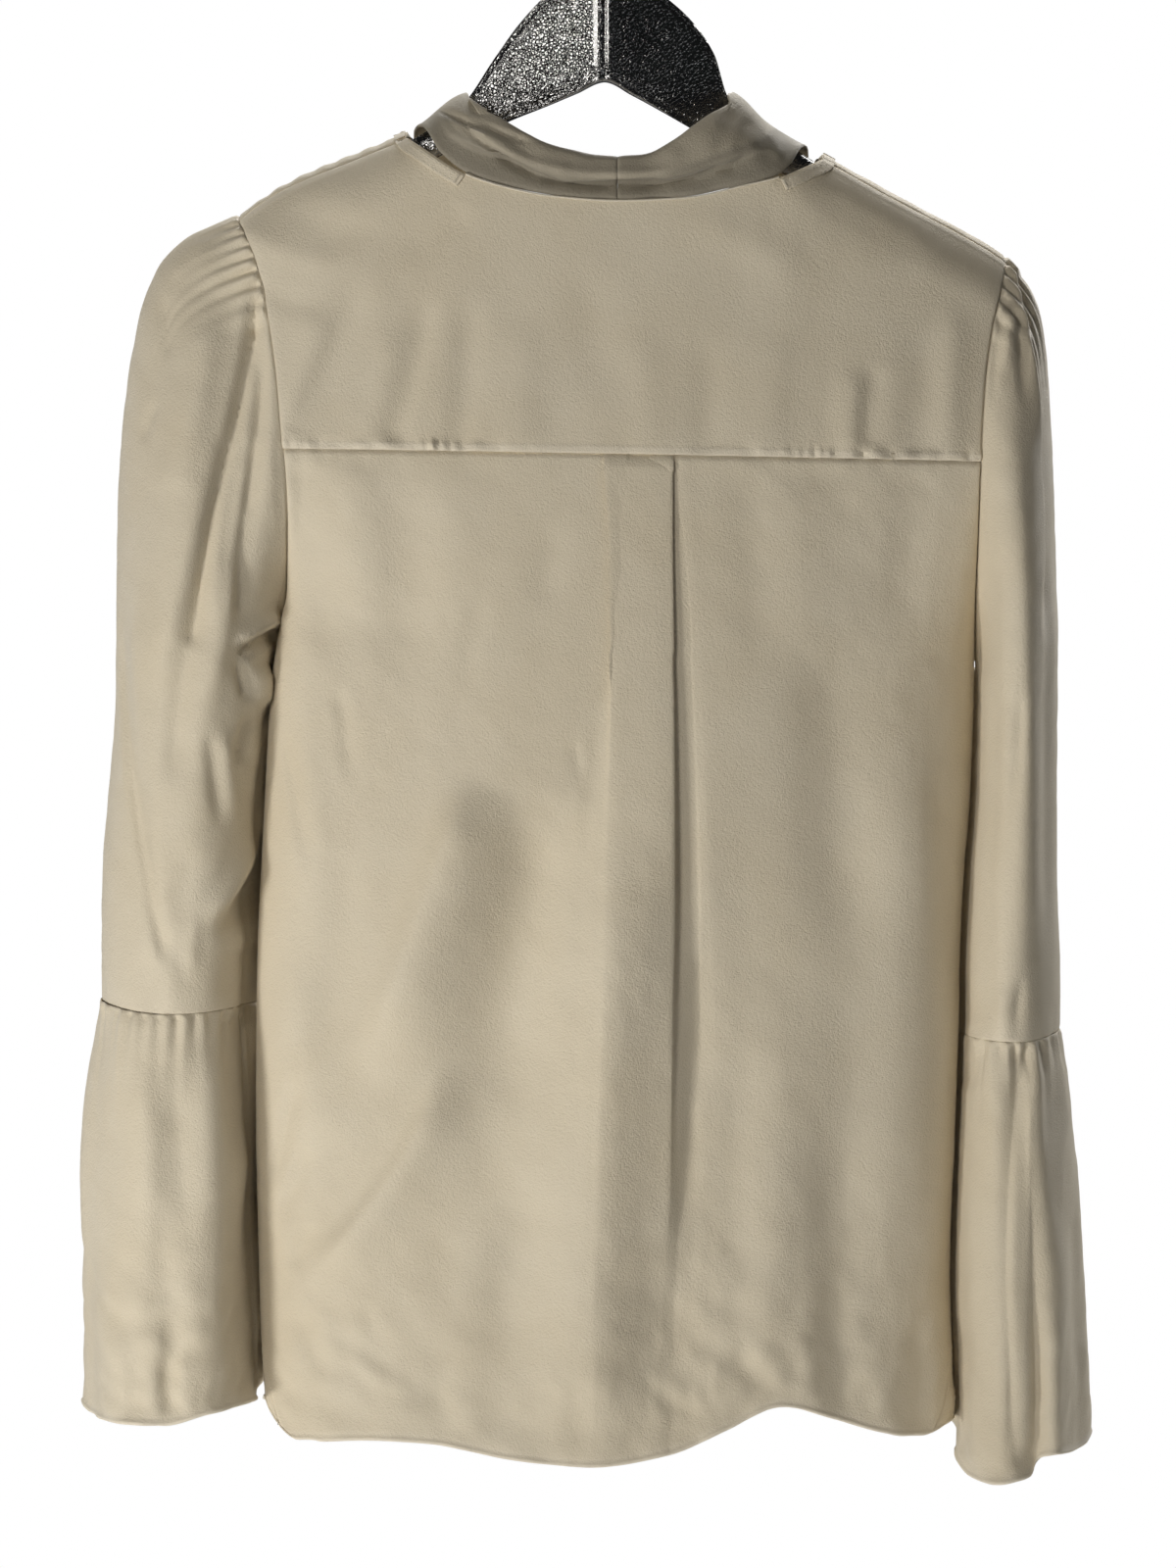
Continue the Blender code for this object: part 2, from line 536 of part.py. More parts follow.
def yoke_rows():
    """The back yoke, from the shoulder seams and the back neck to the yoke seam."""
    top = neck_or_shoulder(BACK_NECK)
    places = columns(YOKE_COLUMNS)
    rows = []
    for station in YOKE_ROWS:
        row = []
        for s in places:
            x, z = body_place(station, s, top, BACK_HEM)
            row.append(surface(-1, x, z, s))
        rows.append(row)
    return seamed(rows, SEAM_GAP / 2, SEAM_GAP / 2, ROUND_SEAM_GAP / 2, SEAM_GAP / 2)


def pleat_x(step, row):
    return getattr(row, step.edge) + step.offset + step.tuck * row.fold


def across_back(station, x):
    """Where a point of the back lies across it at a station, from -1 to 1."""
    left = body_place(station, -1, None, BACK_HEM)[0]
    right = body_place(station, 1, None, BACK_HEM)[0]
    return 2 * (x - left) / (right - left) - 1


def back_point(station, s, lift=0.0):
    x, z = body_place(station, s, None, BACK_HEM)
    return surface(-1, x, z, s, lift)


def back_rows():
    """The back below the yoke, with its pleat folded into the yoke seam."""
    stations = [*(1 + row for row in ARM_ROWS), *(2 + row for row in SKIRT_ROWS[1:])]
    side_places = [1 - math.cos(math.pi / 2 * i / PLEAT_SIDE_STEPS) for i in range(PLEAT_SIDE_STEPS)]
    rows = []
    for station in stations:
        middle_z = body_place(station, 0.1, None, BACK_HEM)[1]
        pleat = Pleat(middle_z, *(smooth(PLEAT, "z", column, middle_z) for column in Pleat._fields[1:]))
        first = across_back(station, pleat_x(PLEAT_STEPS[0], pleat))
        last = across_back(station, pleat_x(PLEAT_STEPS[-1], pleat))
        row = [back_point(station, mix(-1.0, first, t)) for t in side_places]
        for step in PLEAT_STEPS:
            s = across_back(station, pleat_x(step, pleat))
            row.append(back_point(station, s, pleat.rise * step.level))
        row += [back_point(station, mix(1.0, last, t)) for t in reversed(side_places)]
        rows.append(row)
    return seamed(rows, ROUND_SEAM_GAP / 2, ROUND_SEAM_GAP / 2, SEAM_GAP / 2, 0)


def front_rows():
    """The front in one piece, from the shoulder seams and the neck to the hem."""
    top = neck_or_shoulder(FRONT_NECK)
    places = columns(FRONT_COLUMNS)
    rows = []
    for rise, part in enumerate(CREST_PARTS):
        row = []
        for s in places:
            x = shoulder_x(s)
            if in_neck(FRONT_NECK, x):
                row.append(surface(1, x, top(x) - rise * NECK_STEP, s))
            else:
                row.append(over_crest(part, s))
        rows.append(row)
    stations = [*YOKE_ROWS[:-1], *(1 + row for row in ARM_ROWS), *(2 + row for row in SKIRT_ROWS[1:])]
    for station in stations:
        row = []
        for s in places:
            x, z = body_place(station, s, top, FRONT_HEM)
            inside_neck = station == 0 and in_neck(FRONT_NECK, x)
            row.append(surface(1, x, z - (len(CREST_PARTS) * NECK_STEP if inside_neck else 0.0), s))
        rows.append(row)
    return seamed(rows, ROUND_SEAM_GAP / 2, ROUND_SEAM_GAP / 2, ROUND_SEAM_GAP / 2, 0)


def tube_point(tube, z, angle):
    """A point on a sleeve or flounce: angle 0 at its inner edge, 90 at the front."""
    outer, inner = smooth(tube, "z", "outer", z), smooth(tube, "z", "inner", z)
    depth = smooth(tube, "z", "depth", z)
    turn = math.radians(angle)
    x = (outer + inner) / 2 + (inner - outer) / 2 * math.cos(turn)
    return x, depth * math.sin(turn)


def armhole_ring(side_rows, column):
    """The armhole seam as a closed ring: points in millimetres with the angle each takes below.

    It runs from the crest down the back to the underarm, then up the front.
    """
    seam = armhole(side_rows, column)
    s = -1.0 if column == "left" else 1.0

    def plain(point):
        return Vector((point.x / MM, point.y / MM - BOW * (point.x / MM / BOW_SPAN) ** 2, point.z / MM))

    ring = []
    for way, sign in ((-1, 1), (1, -1)):
        over = [over_crest(0.0, s), over_crest(way * 0.5, s)]
        path = [plain(point) for point in [*over, *(surface(way, x, z, s) for x, z in seam)]]
        lengths = [0.0]
        for a, b in zip(path, path[1:]):
            lengths.append(lengths[-1] + (b - a).length)
        angled = [(point, 180 + sign * 180 * length / lengths[-1]) for point, length in zip(path, lengths)]
        ring.append(angled)
    down, up = ring
    return down + up[-2:0:-1]


def sleeve_reach(drop, angle):
    """How far the cloth has swung out from its seam, by the drop below it: slower over the head."""
    head = (1 - math.cos(math.radians(angle))) / 2
    slow = mix(SIDE_SWING, HEAD_SWING, math.sqrt(head))
    left_over = SEAM_SHARE * math.exp(-drop / SEAM_SWING)
    return 1 - left_over - (1 - SEAM_SHARE) * math.exp(-drop / slow)


def build_sleeve(side, side_rows, tube, cuff, waves):
    """A set-in sleeve, from its armhole seam down to the flounce's seam."""
    ring = armhole_ring(side_rows, side)
    outwards = math.copysign(2 * SEAM_GAP, ring[0][0].x)
    rows = []
    for f in SLEEVE_ROWS:
        row = []
        for start, angle in ring:
            end_z = smooth(cuff, "angle", "z", angle)
            z = mix(start.z, end_z, f)
            goal_x, goal_y = tube_point(tube, z, angle)
            reach = sleeve_reach(start.z - z, angle) / sleeve_reach(start.z - end_z, angle)
            x, y = mix(start.x + outwards, goal_x, reach), mix(start.y, goal_y, reach)
            swell = wave_out(waves, angle, f) * math.sin(math.pi * f)
            turn = math.radians(angle)
            x -= math.copysign(swell * math.cos(turn), goal_x)
            row.append(bowed(x, y + swell * math.sin(turn), z))
        rows.append(row)
    turned = [trimmed(column, 0, SEAM_GAP / 2) for column in zip(*rows)]
    rows = [list(row) for row in zip(*turned)]
    return cloth("sleeve_" + side, rows, closed=True, flip=side == "left")


def wave_out(waves, angle, f):
    """How far the folds round a tube stand out, at an angle round it and a part of its length."""
    out = 0.0
    for wave in waves:
        apart = (angle - wave.angle + 180) % 360 - 180
        out += mix(wave.top, wave.low, ease(f)) * math.exp(-((apart / wave.spread) ** 2))
    return out


def build_flounce(side, flare, cuff, hem, waves):
    """A gathered flounce, from its seam on the sleeve down to its hem."""
    rows = []
    for f in FLOUNCE_ROWS:
        row = []
        for i in range(FLOUNCE_STEPS):
            angle = 360 * i / FLOUNCE_STEPS
            z = mix(smooth(cuff, "angle", "z", angle), smooth(hem, "angle", "z", angle), f)
            x, y = tube_point(flare, z, angle)
            middle = (smooth(flare, "z", "outer", z) + smooth(flare, "z", "inner", z)) / 2
            spoke = Vector((x - middle, y))
            swell = wave_out(waves, angle, f) * min(1.0, f * FLOUNCE_SWING)
            grown = spoke * (1 + swell / spoke.length)
            row.append(bowed(middle + grown.x, grown.y, z))
        rows.append(row)
    turned = [trimmed(column, SEAM_GAP / 2, 0) for column in zip(*rows)]
    rows = [list(row) for row in zip(*turned)]
    return cloth("flounce_" + side, rows, closed=True, flip=side == "left")


Cell = namedtuple("Cell", "at value")


def band_places(band):
    """How far along the tie each row of its table lies, from 0 to 1."""
    lengths = [0.0]
    for a, b in zip(band, band[1:]):
        lengths.append(lengths[-1] + math.hypot(a.low_x - b.low_x, a.low_z - b.low_z))
    return [length / lengths[-1] for length in lengths]


def band_at(band, t):
    """One place along the tie, t from 0 at the centre back to 1 at its end, as a Band."""
    places = band_places(band)
    values = []
    for column in Band._fields:
        cells = [Cell(at, getattr(row, column)) for at, row in zip(places, band)]
        values.append(smooth(cells, "at", "value", t))
    return Band(*values)


class Resting:
    """The outer faces of some panels, on which a strip or a tie can be laid."""

    def __init__(self, panels):
        points, faces = [], []
        for panel in panels:
            start = len(points)
            points += [vertex.co for vertex in panel.data.vertices]
            faces += [[start + corner for corner in face.vertices] for face in panel.data.polygons]
        self.tree = BVHTree.FromPolygons(points, faces)

    def above(self, side, x, z, lift):
        """The place over the cloth at X and Z, from behind (-1), above (0) or in front (1)."""
        way = Vector((0, side, 0 if side else 1))
        start = bowed(x, 0, z if side else CREST[0].z)
        found, normal = self.tree.ray_cast(start + way, -way, way.length)[:2]
        if found is None:
            return None
        return found + normal * math.copysign(lift * MM, normal.dot(way))


def tie_point(front, side, x, z, lift):
    """A place on the tie. Side runs from -1 behind the crest, over it at 0, to 1 in front."""
    if side >= 1:
        found = front.above(1, x, z, lift)
        if found is not None:
            return found
    drop = min(abs(side), 1.0) * max(crest(x) - z, 0.0)
    over = rounding(drop)
    way = -1 if side < 0 else 1
    depth = abs(on_body(way, x, min(z, crest(x) - CREST_ROUND), lift).y - bowed(x, 0, 0).y) / MM
    return bowed(x, way * depth * over, crest(x) - drop)


def build_tie(side, band, front):
    """Half of the neck tie: it stands and rolls at the neck, rides over the hanger and hangs."""
    rows = []
    places = band_places(band)
    between = [(a + b) / 2 for a, b, row in zip(places, places[1:], band) if row.side < 1]
    for t in sorted([*places, *between]):
        at = band_at(band, t)
        row = []
        for step in TIE_ROLL:
            up = step.up / TIE_TOP
            x = mix(mix(at.low_x, at.top_x, step.straight), mix(at.low_x, at.top_x, up), at.roll)
            z = mix(mix(at.low_z, at.top_z, step.straight), mix(at.low_z, at.top_z, up), at.roll)
            lift = step.out * at.roll + TIE_CLEAR * ease(2 * at.side)
            row.append(tie_point(front, at.side, x, z, lift))
        rows.append(row)
    return cloth("neck_tie_" + side, rows, DOUBLE_CLOTH, flip=side == "right")


def build_binding(side, strip, panels):
    """The narrow strip on the free neck edge, from the slit over the shoulder to the centre front."""
    resting = Resting(panels)
    rows = []
    for a, b in zip(strip, strip[1:]):
        steps = BINDING_STEPS if a.side == b.side else 1
        for i in range(steps):
            rows.append(Strip(a.side, *(mix(p, q, i / steps) for p, q in zip(a[1:], b[1:]))))
    rows.append(strip[-1])
    edges = []
    for row in rows:
        outer = resting.above(row.side, row.x, row.z, LAY_GAP + CLOTH)
        inner = resting.above(row.side, row.in_x, row.in_z, LAY_GAP + CLOTH)
        if outer is None or inner is None:
            raise ValueError(f"the strip on the {side} neck edge leaves the cloth at {row}")
        edges.append([outer, inner])
    return cloth("neck_binding_" + side, edges, flip=side == "left")


def around(loop):
    """Each corner of a loop with the next one."""
    return zip(loop, [*loop[1:], loop[0]])


def build_hanger():
    """Arms and dome in one, lofted from rounded sections along its length."""
    mesh = bmesh.new()
    loops = []
    for arm in ARMS:
        middle, tall = (arm.top + arm.low) / 2, (arm.top - arm.low) / 2
        loop = []
        for i in range(ARM_STEPS):
            turn = 2 * math.pi * i / ARM_STEPS
            y = arm.half * math.copysign(abs(math.sin(turn)) ** ARM_SQUARE, math.sin(turn))
            z = middle + tall * math.copysign(abs(math.cos(turn)) ** ARM_TALL_SQUARE, math.cos(turn))
            loop.append(mesh.verts.new(bowed(arm.x, y, z)))
        loops.append(loop)
    for loop in loops:
        for pair in around(loop):
            mesh.edges.new(pair)
    for before, after in zip(loops, loops[1:]):
        edges = [mesh.edges.get(pair) for loop in (before, after) for pair in around(loop)]
        bmesh.ops.bridge_loops(mesh, edges=edges)
    mesh.faces.new(loops[0])
    mesh.faces.new(loops[-1])
    bmesh.ops.recalc_face_normals(mesh, faces=mesh.faces)
    return finish("hanger_body", mesh, LEATHER)


def build_hook():
    """A plain wire hook whose inside top is the origin."""
    radius = HOOK_INSIDE + HOOK_WIRE / 2
    points = list(HOOK_STEM)
    for degrees in HOOK_TURNS:
        turn = math.radians(degrees)
        points.append(Bend(radius * math.cos(turn), radius * math.sin(turn) - HOOK_INSIDE))
    data = bpy.data.curves.new("hanger_hook", "CURVE")
    data.dimensions = "3D"
    data.bevel_depth = HOOK_WIRE / 2 * MM
    data.bevel_resolution = 2
    data.use_fill_caps = True
    spline = data.splines.new("POLY")
    spline.points.add(len(points) - 1)
    for point, (x, z) in zip(spline.points, points):
        point.co = (x * MM, 0, z * MM, 1)
    data.materials.append(material("hanger_hook", STEEL))
    made = bpy.data.objects.new("hanger_hook", data)
    bpy.context.scene.collection.objects.link(made)
    return made


def main():
    for old in list(bpy.data.objects):
        bpy.data.objects.remove(old)
    yoke = cloth("back_yoke", yoke_rows(), flip=True)
    cloth("back_body", back_rows(), flip=True)
    front = cloth("front_body", front_rows())
    build_sleeve("left", LEFT_SIDE, LEFT_TUBE, LEFT_CUFF, LEFT_SLEEVE_WAVES)
    build_sleeve("right", RIGHT_SIDE, RIGHT_TUBE, RIGHT_CUFF, RIGHT_SLEEVE_WAVES)
    build_flounce("left", LEFT_FLARE, LEFT_CUFF, LEFT_HEM, LEFT_WAVES)
    build_flounce("right", RIGHT_FLARE, RIGHT_CUFF, RIGHT_HEM, RIGHT_WAVES)
    build_tie("left", LEFT_BAND, Resting([front]))
    build_tie("right", RIGHT_BAND, Resting([front]))
    build_binding("left", LEFT_STRIP, [yoke, front])
    build_binding("right", RIGHT_STRIP, [yoke, front])
    build_hanger()
    build_hook()


main()
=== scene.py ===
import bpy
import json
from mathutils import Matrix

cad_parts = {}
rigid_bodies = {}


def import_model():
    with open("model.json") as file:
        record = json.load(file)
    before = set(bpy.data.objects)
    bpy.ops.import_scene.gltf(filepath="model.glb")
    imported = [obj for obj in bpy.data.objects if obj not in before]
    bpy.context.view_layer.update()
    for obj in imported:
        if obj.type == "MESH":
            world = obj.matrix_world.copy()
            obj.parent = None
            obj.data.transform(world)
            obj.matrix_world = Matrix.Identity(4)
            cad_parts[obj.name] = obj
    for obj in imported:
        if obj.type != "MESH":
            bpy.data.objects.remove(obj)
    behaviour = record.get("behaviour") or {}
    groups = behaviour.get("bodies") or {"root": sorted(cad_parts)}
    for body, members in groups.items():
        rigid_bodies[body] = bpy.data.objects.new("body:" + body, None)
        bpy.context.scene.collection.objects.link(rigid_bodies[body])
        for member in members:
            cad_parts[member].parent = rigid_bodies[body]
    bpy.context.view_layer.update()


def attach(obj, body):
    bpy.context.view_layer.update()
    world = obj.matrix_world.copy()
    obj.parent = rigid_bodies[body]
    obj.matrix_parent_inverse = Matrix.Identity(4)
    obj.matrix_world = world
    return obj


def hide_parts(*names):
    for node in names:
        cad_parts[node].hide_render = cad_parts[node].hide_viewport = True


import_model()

# A silk blouse with a neck tie and flounced sleeves, hung on a leather-covered hanger.
# Metres, +Z up. The garment's back faces -Y and the wearer's right is +X. The origin is the inside
# top of the hanger's hook. Tables and the sizes worked out from them are in millimetres.

import json
import math
from collections import namedtuple

import bmesh
import bpy
import numpy as np
from bpy.props import FloatProperty, FloatVectorProperty, PointerProperty
from mathutils import Matrix, Vector
from mathutils.bvhtree import BVHTree

bl_info = {
    "name": "Silk Blouse on a Hanger",
    "version": (1, 0, 0),
    "blender": (4, 5, 0),
    "location": "3D View > Sidebar > Blouse",
    "description": "Builds a silk blouse with a neck tie and flounced sleeves, on its hanger",
    "category": "Object",
}

MM = 0.001

CREST_ROUND = 35.0       # drop over which the cloth rounds off the hanger
SEAM_DROP = 3.5          # how far below the crest the shoulder seams run, behind it
BOW = 14.0               # how far the hanger's ends reach forward
BOW_SPAN = 190.0         # half-width at which the bow is measured
HOOK_WIRE = 4.0          # diameter of the hook's wire
HOOK_INSIDE = 20.0       # inside radius of the hook
STEM_FOOT = -85.7        # height at which the hook meets the top of the hanger
YOKE_EDGE_Z = -335.0     # height from which the armhole narrows to the underarm
NECK_LEFT = -101.0       # X of the neck points on the shoulder line
NECK_RIGHT = 111.0
DEEP_NECK_Z = -230.0     # height under which the front lies flat beside its neck edge
BACK_SIGN = -1           # which way along Y the back's outer face looks
TUCK = 15.0              # how far each sleeve reaches in front of the body's side edge
CREASE_STEPS = 12        # straight parts of a crease's line
FADE = 0.3               # part of a crease's length over which it dies out
HEM_RADIUS = 1.05        # radius of a rolled hem
HEM_TURNS = (50, 95, 140, 185, 230, 275, 320)    # places round the roll, in degrees
HEM_ROWS = len(HEM_TURNS)
HEM_WIDTH = 3.0          # width of the doubled cloth beside a hem
RUFFLES = 26             # waves that add up to a crumpled cloth
STRIP_SHARES = (0.0, 0.04, 0.14, 0.3, 0.5, 0.7, 0.86, 0.96, 1.0)    # columns across a neck strip
STRIP_SMOOTHING = 7      # rows over which a neck strip is evened out
WELD = 0.000005          # points closer than this, in metres, are one
FINE_WELD = 0.000002
SMOOTH_ANGLE = math.radians(60)
FLOOR_Z = -1.2           # in metres


class Table:
    """Rows of sizes under named columns, read along the first one on a smooth curve."""

    def __init__(self, names, rows):
        self.names = names.split()
        self.rows = np.array(rows, dtype=float)
        self.sorted = self.rows[np.argsort(self.rows[:, 0], kind="stable")]

    def at(self, name, key):
        keys = self.sorted[:, 0]
        values = self.sorted[:, self.names.index(name)]
        rise = np.diff(values) / np.diff(keys)
        before, after = rise[:-1], rise[1:]
        same = before * after > 0
        slope = np.empty_like(values)
        slope[0], slope[-1] = rise[0], rise[-1]
        slope[1:-1] = np.where(same, 2 * before * after / np.where(same, before + after, 1.0), 0.0)
        key = np.clip(key, keys[0], keys[-1])
        i = np.clip(np.searchsorted(keys, key, "right") - 1, 0, len(keys) - 2)
        span = keys[i + 1] - keys[i]
        t = (key - keys[i]) / span
        return (
            values[i] * (1 + 2 * t) * (1 - t) ** 2
            + values[i + 1] * t * t * (3 - 2 * t)
            + slope[i] * span * t * (1 - t) ** 2
            - slope[i + 1] * span * t * t * (1 - t)
        )


# The outline of the shoulders and of the tie where it rides over the hanger
CREST = Table("x z", [
    (-192, -215.5), (-188.5, -212.5), (-166, -196.5), (-123.5, -179), (-101, -169.5),
    (-71, -148.5), (-30, -141), (0, -140), (30, -141), (65.5, -149), (84, -164), (104, -177),
    (112, -181), (144, -198.5), (196.5, -226.5), (205.5, -232.5), (209, -235),
])
# Each side's armhole seam, and the side seam under it
LEFT_SIDE = Table("z x", [
    (-213.5, -188.5), (-227.5, -181), (-252.5, -174.5), (-290, -168.3), (-335, -163.2),
    (-370, -161.5), (-402, -162), (-427.5, -167), (-450, -170.5), (-510, -174), (-602, -178),
    (-677, -178.5), (-752, -177), (-815, -174.5), (-850, -172),
])
RIGHT_SIDE = Table("z x", [
    (-233.5, 205.5), (-247, 203.2), (-272.5, 197.5), (-300, 193.8), (-338.5, 191.5), (-382, 190),
    (-412, 189.3), (-440, 189.3), (-510, 187), (-552, 183.5), (-602, 181), (-677, 178),
    (-752, 176.8), (-828, 179), (-850, 179),
])
HEM_LEFT_X = -174.5
HEM_RIGHT_X = 179.0
# Heights of the seams at the two sides: 0 shoulder, 1 yoke seam, 2 underarm, 3 hem
LEVELS = Table("station left right", [
    (0, -216, -236), (1, -332, -338.5), (2, -427.5, -440), (3, -813, -826),
])
# Half-depth of the body: at the middle, back and front, and at the armhole seams
DEPTHS = Table("z back front edge", [
    (-140, 26, 26, 19), (-200, 29, 30, 20), (-260, 32, 36, 27), (-335, 37, 43, 34),
    (-430, 42, 48, 34), (-560, 45, 52, 34), (-700, 48, 54, 34), (-850, 51, 55, 34),
])
BACK_NECK = Table("x z", [
    (-101, -173), (-70, -193), (-48.5, -200), (-28.5, -204), (6.5, -206.5), (41.5, -205),
    (71.5, -198.5), (88, -194.5), (111, -184),
])
FRONT_NECK = Table("x z", [
    (-101, -169.5), (-98.6, -171.5), (-95, -177), (-90, -186), (-60, -225), (-30, -266), (5, -312),
    (40, -268), (70, -228), (100, -194), (105, -187), (108.6, -182.2), (111, -181),
])
BACK_HEM = Table("x z", [
    (-174.5, -813), (-171, -822), (-158.5, -835), (-118.5, -833.5), (-88.5, -835),
    (-48.5, -842.5), (-8.5, -846), (31.5, -840), (61.5, -827.5), (89, -816), (116.5, -822.5),
    (141.5, -830), (161.5, -832.5), (179, -826),
])
FRONT_HEM = Table("x z", [
    (-174.5, -813), (-150, -822), (-80, -826), (0, -826), (60, -818), (100, -812), (140, -820),
    (179, -826),
])
# How far behind the side the side seam swings near the hem, as a part of half the width
SEAM_SWING = Table("z left right", [
    (-850, 0.105, 0.10), (-834, 0.095, 0.08), (-815, 0.045, 0.03), (-785, 0.0, 0.0),
    (-200, 0.0, 0.0),
])

# The centre pleat: the raised panel's edges and the far edge of its open right-hand fold
# and how far each side has opened out from a pressed fold into a soft slope
PLEAT = Table("z left right open fold rise soft_left soft_right", [
    (-325, 0.0, 34.5, 36.5, 11, 1.8, 0.0, 0.0), (-336, 0.0, 34.5, 36.5, 11, 1.9, 0.0, 0.0),
    (-382, 2.5, 34.5, 41.5, 10, 2.6, 0.04, 0.0), (-422, 2.5, 35, 44.5, 9, 3.4, 0.2, 0.0),
    (-482, 1.5, 35.5, 46.5, 6.5, 5.0, 0.7, 0.04), (-560, 0.0, 36, 48, 4, 6.4, 1.0, 0.12),
    (-620, -2, 35, 48, 3.0, 5.8, 1.0, 0.3), (-700, -4, 34, 43, 2, 3.4, 1.0, 0.65),
    (-760, -6, 30, 42, 1, 2.4, 1.0, 1.0), (-850, -8, 26, 42, 1, 1.6, 1.0, 1.0),
])
# Across the pleat: how far along each edge, pressed and opened out, and the level between the
# under layer and the top
PleatStep = namedtuple("PleatStep", "edge offset soft tuck level")
PLEAT_STEPS = [
    PleatStep("left", -3.0, -22.0, 0.0, 0.0), PleatStep("left", 0.0, -12.0, 1.0, 0.10),
    PleatStep("left", 0.6, -4.0, 1.0, 0.50), PleatStep("left", 0.0, 2.0, 0.0, 0.90),
    PleatStep("left", 1.2, 10.0, 0.0, 1.0), PleatStep("right", -10.0, -14.0, 0.0, 1.0),
    PleatStep("right", -1.2, -6.0, 0.0, 0.9), PleatStep("right", 0.0, -1.0, 0.0, 0.7),
    PleatStep("right", -0.8, 3.0, -1.0, 0.28), PleatStep("right", 0.0, 7.0, -1.0, -0.12),
    PleatStep("open", -2.2, 2.0, 0.0, -0.2), PleatStep("open", 0.0, 9.0, 0.0, -0.1),
    PleatStep("open", 3.0, 20.0, 0.0, 0.0),
]

# Each sleeve from the underarm's height down: outline, inner edge and half-depth
LEFT_TUBE = Table("z outer inner depth", [
    (-213, -253, -170, 40), (-330, -254, -170, 46), (-402, -252.5, -171, 49),
    (-450, -252, -173.5, 50), (-502, -254.5, -178.5, 48), (-552, -257.5, -182, 46),
    (-602, -258, -185, 44), (-625, -258, -187, 43),
])
RIGHT_TUBE = Table("z outer inner depth", [
    (-233, 233.5, 196, 42), (-330, 233.5, 194, 54), (-402, 233, 193, 58), (-450, 232.8, 192, 58),
    (-502, 232.6, 190.5, 56), (-552, 232.6, 187, 54), (-602, 233.5, 184.5, 51),
    (-640, 233, 184, 49),
])
# Each flounce from its seam to its hem
LEFT_FLARE = Table("z outer inner depth", [
    (-600, -258, -187, 43), (-613, -259, -187, 43), (-627, -262, -186, 45),
    (-652, -265.5, -184.5, 49), (-677, -267, -183, 52), (-727, -268, -181.5, 55),
    (-780, -267.5, -180.5, 57), (-830, -268, -178.5, 58),
])
RIGHT_FLARE = Table("z outer inner depth", [
    (-620, 233, 184, 49), (-634, 234, 184, 49), (-652, 237.5, 183, 52), (-677, 240.5, 181.5, 55),
    (-702, 244, 180.5, 57), (-752, 247, 180, 60), (-802, 249, 181.5, 61), (-856, 249.5, 181.5, 61),
])
# A ring's height all round, by the angle from the inner edge towards the front
LEFT_CUFF = Table("angle z", [(0, -615), (90, -610), (180, -612.5), (270, -619.5), (360, -615)])
RIGHT_CUFF = Table("angle z", [(0, -630), (90, -626), (180, -627.5), (270, -633.5), (360, -630)])
LEFT_HEM = Table("angle z", [
    (0, -815), (60, -819), (120, -822), (180, -817.5), (200, -822), (245, -825.5), (270, -826),
    (300, -820), (330, -816.5), (360, -815),
])
RIGHT_HEM = Table("angle z", [
    (0, -843), (60, -838), (120, -834), (180, -832), (215, -839), (258, -841.5), (272, -852),
    (300, -855.5), (335, -853), (360, -843),
])
# Folds down a tube: where round it, how wide, and how far out they stand at the top and the end
Wave = namedtuple("Wave", "angle spread top low")
LEFT_WAVES = [Wave(*row) for row in (
    (35, 16, 1.0, -5.0), (85, 18, -1.5, 5.0), (135, 16, 1.0, -5.0), (205, 13, -1.5, -3.0),
    (238, 14, 1.5, 3.0), (272, 12, -1.5, -4.0), (310, 14, 1.0, 3.0),
)]
RIGHT_WAVES = [Wave(*row) for row in (
    (30, 14, 1.0, 3.0), (70, 16, -1.0, -4.0), (115, 16, 1.0, 5.0), (160, 14, -1.0, -5.0),
    (215, 13, -0.5, -3.0), (244, 12, 0.5, 3.0), (266, 10, -1.5, -9.0), (294, 13, 1.0, 3.6),
    (335, 12, -0.5, -2.0),
)]
LEFT_SLEEVE_WAVES = [Wave(*row) for row in (
    (300, 13, -1.5, 0.0), (268, 12, 2.0, -2.0), (238, 14, -0.5, -3.0), (60, 16, -3.0, 0.0),
    (120, 15, 0.5, -3.0),
)]
RIGHT_SLEEVE_WAVES = [Wave(*row) for row in (
    (225, 12, -1.5, -1.5), (262, 13, 2.0, 1.0), (312, 12, -1.5, -1.0), (55, 15, -3.0, 0.0),
    (115, 16, 0.0, -3.0),
)]

# Gathers that run off a seam: where round it, how wide in degrees, how far out, how long
Gather = namedtuple("Gather", "angle width out length")
LEFT_HEAD = [Gather(*row) for row in (
    (184, 1.3, -1.1, 3), (186.6, 1.2, 1.2, 7.2), (189.6, 1.6, -1.7, 6.5), (192.8, 1.3, 1.4, 7.6),
    (195.2, 1.2, -1.9, 4.5), (198.1, 1.6, 2, 12), (201, 1.2, -2.3, 4.2), (203.4, 1.4, 2, 9.2),
    (206.1, 1.3, -2.6, 13), (208.8, 1.6, 2.4, 14), (211.6, 1.3, -2.9, 21), (214.5, 1.7, 2.6, 16),
    (217.6, 1.4, -2.6, 17), (220.6, 1.8, 2.3, 11), (224.2, 1.6, -2.2, 7.6), (228.2, 2.2, 1.6, 16),
    (233.4, 2.4, -1.3, 6), (179, 1.4, 0.96, 9.5), (175.6, 1.5, -1.4, 7.2), (172.2, 1.5, 1.6, 7.8),
    (168.4, 1.6, -1.9, 8.4), (164.6, 1.8, 1.8, 6.7), (160.6, 1.6, -2.2, 21), (156.6, 1.8, 1.9, 9),
    (152.4, 1.7, -1.9, 27), (148, 2, 1.7, 7.2), (143.4, 1.8, -1.8, 14), (138, 2.4, 1.4, 7.6),
    (131.5, 2.2, -1.3, 5.9),
)]
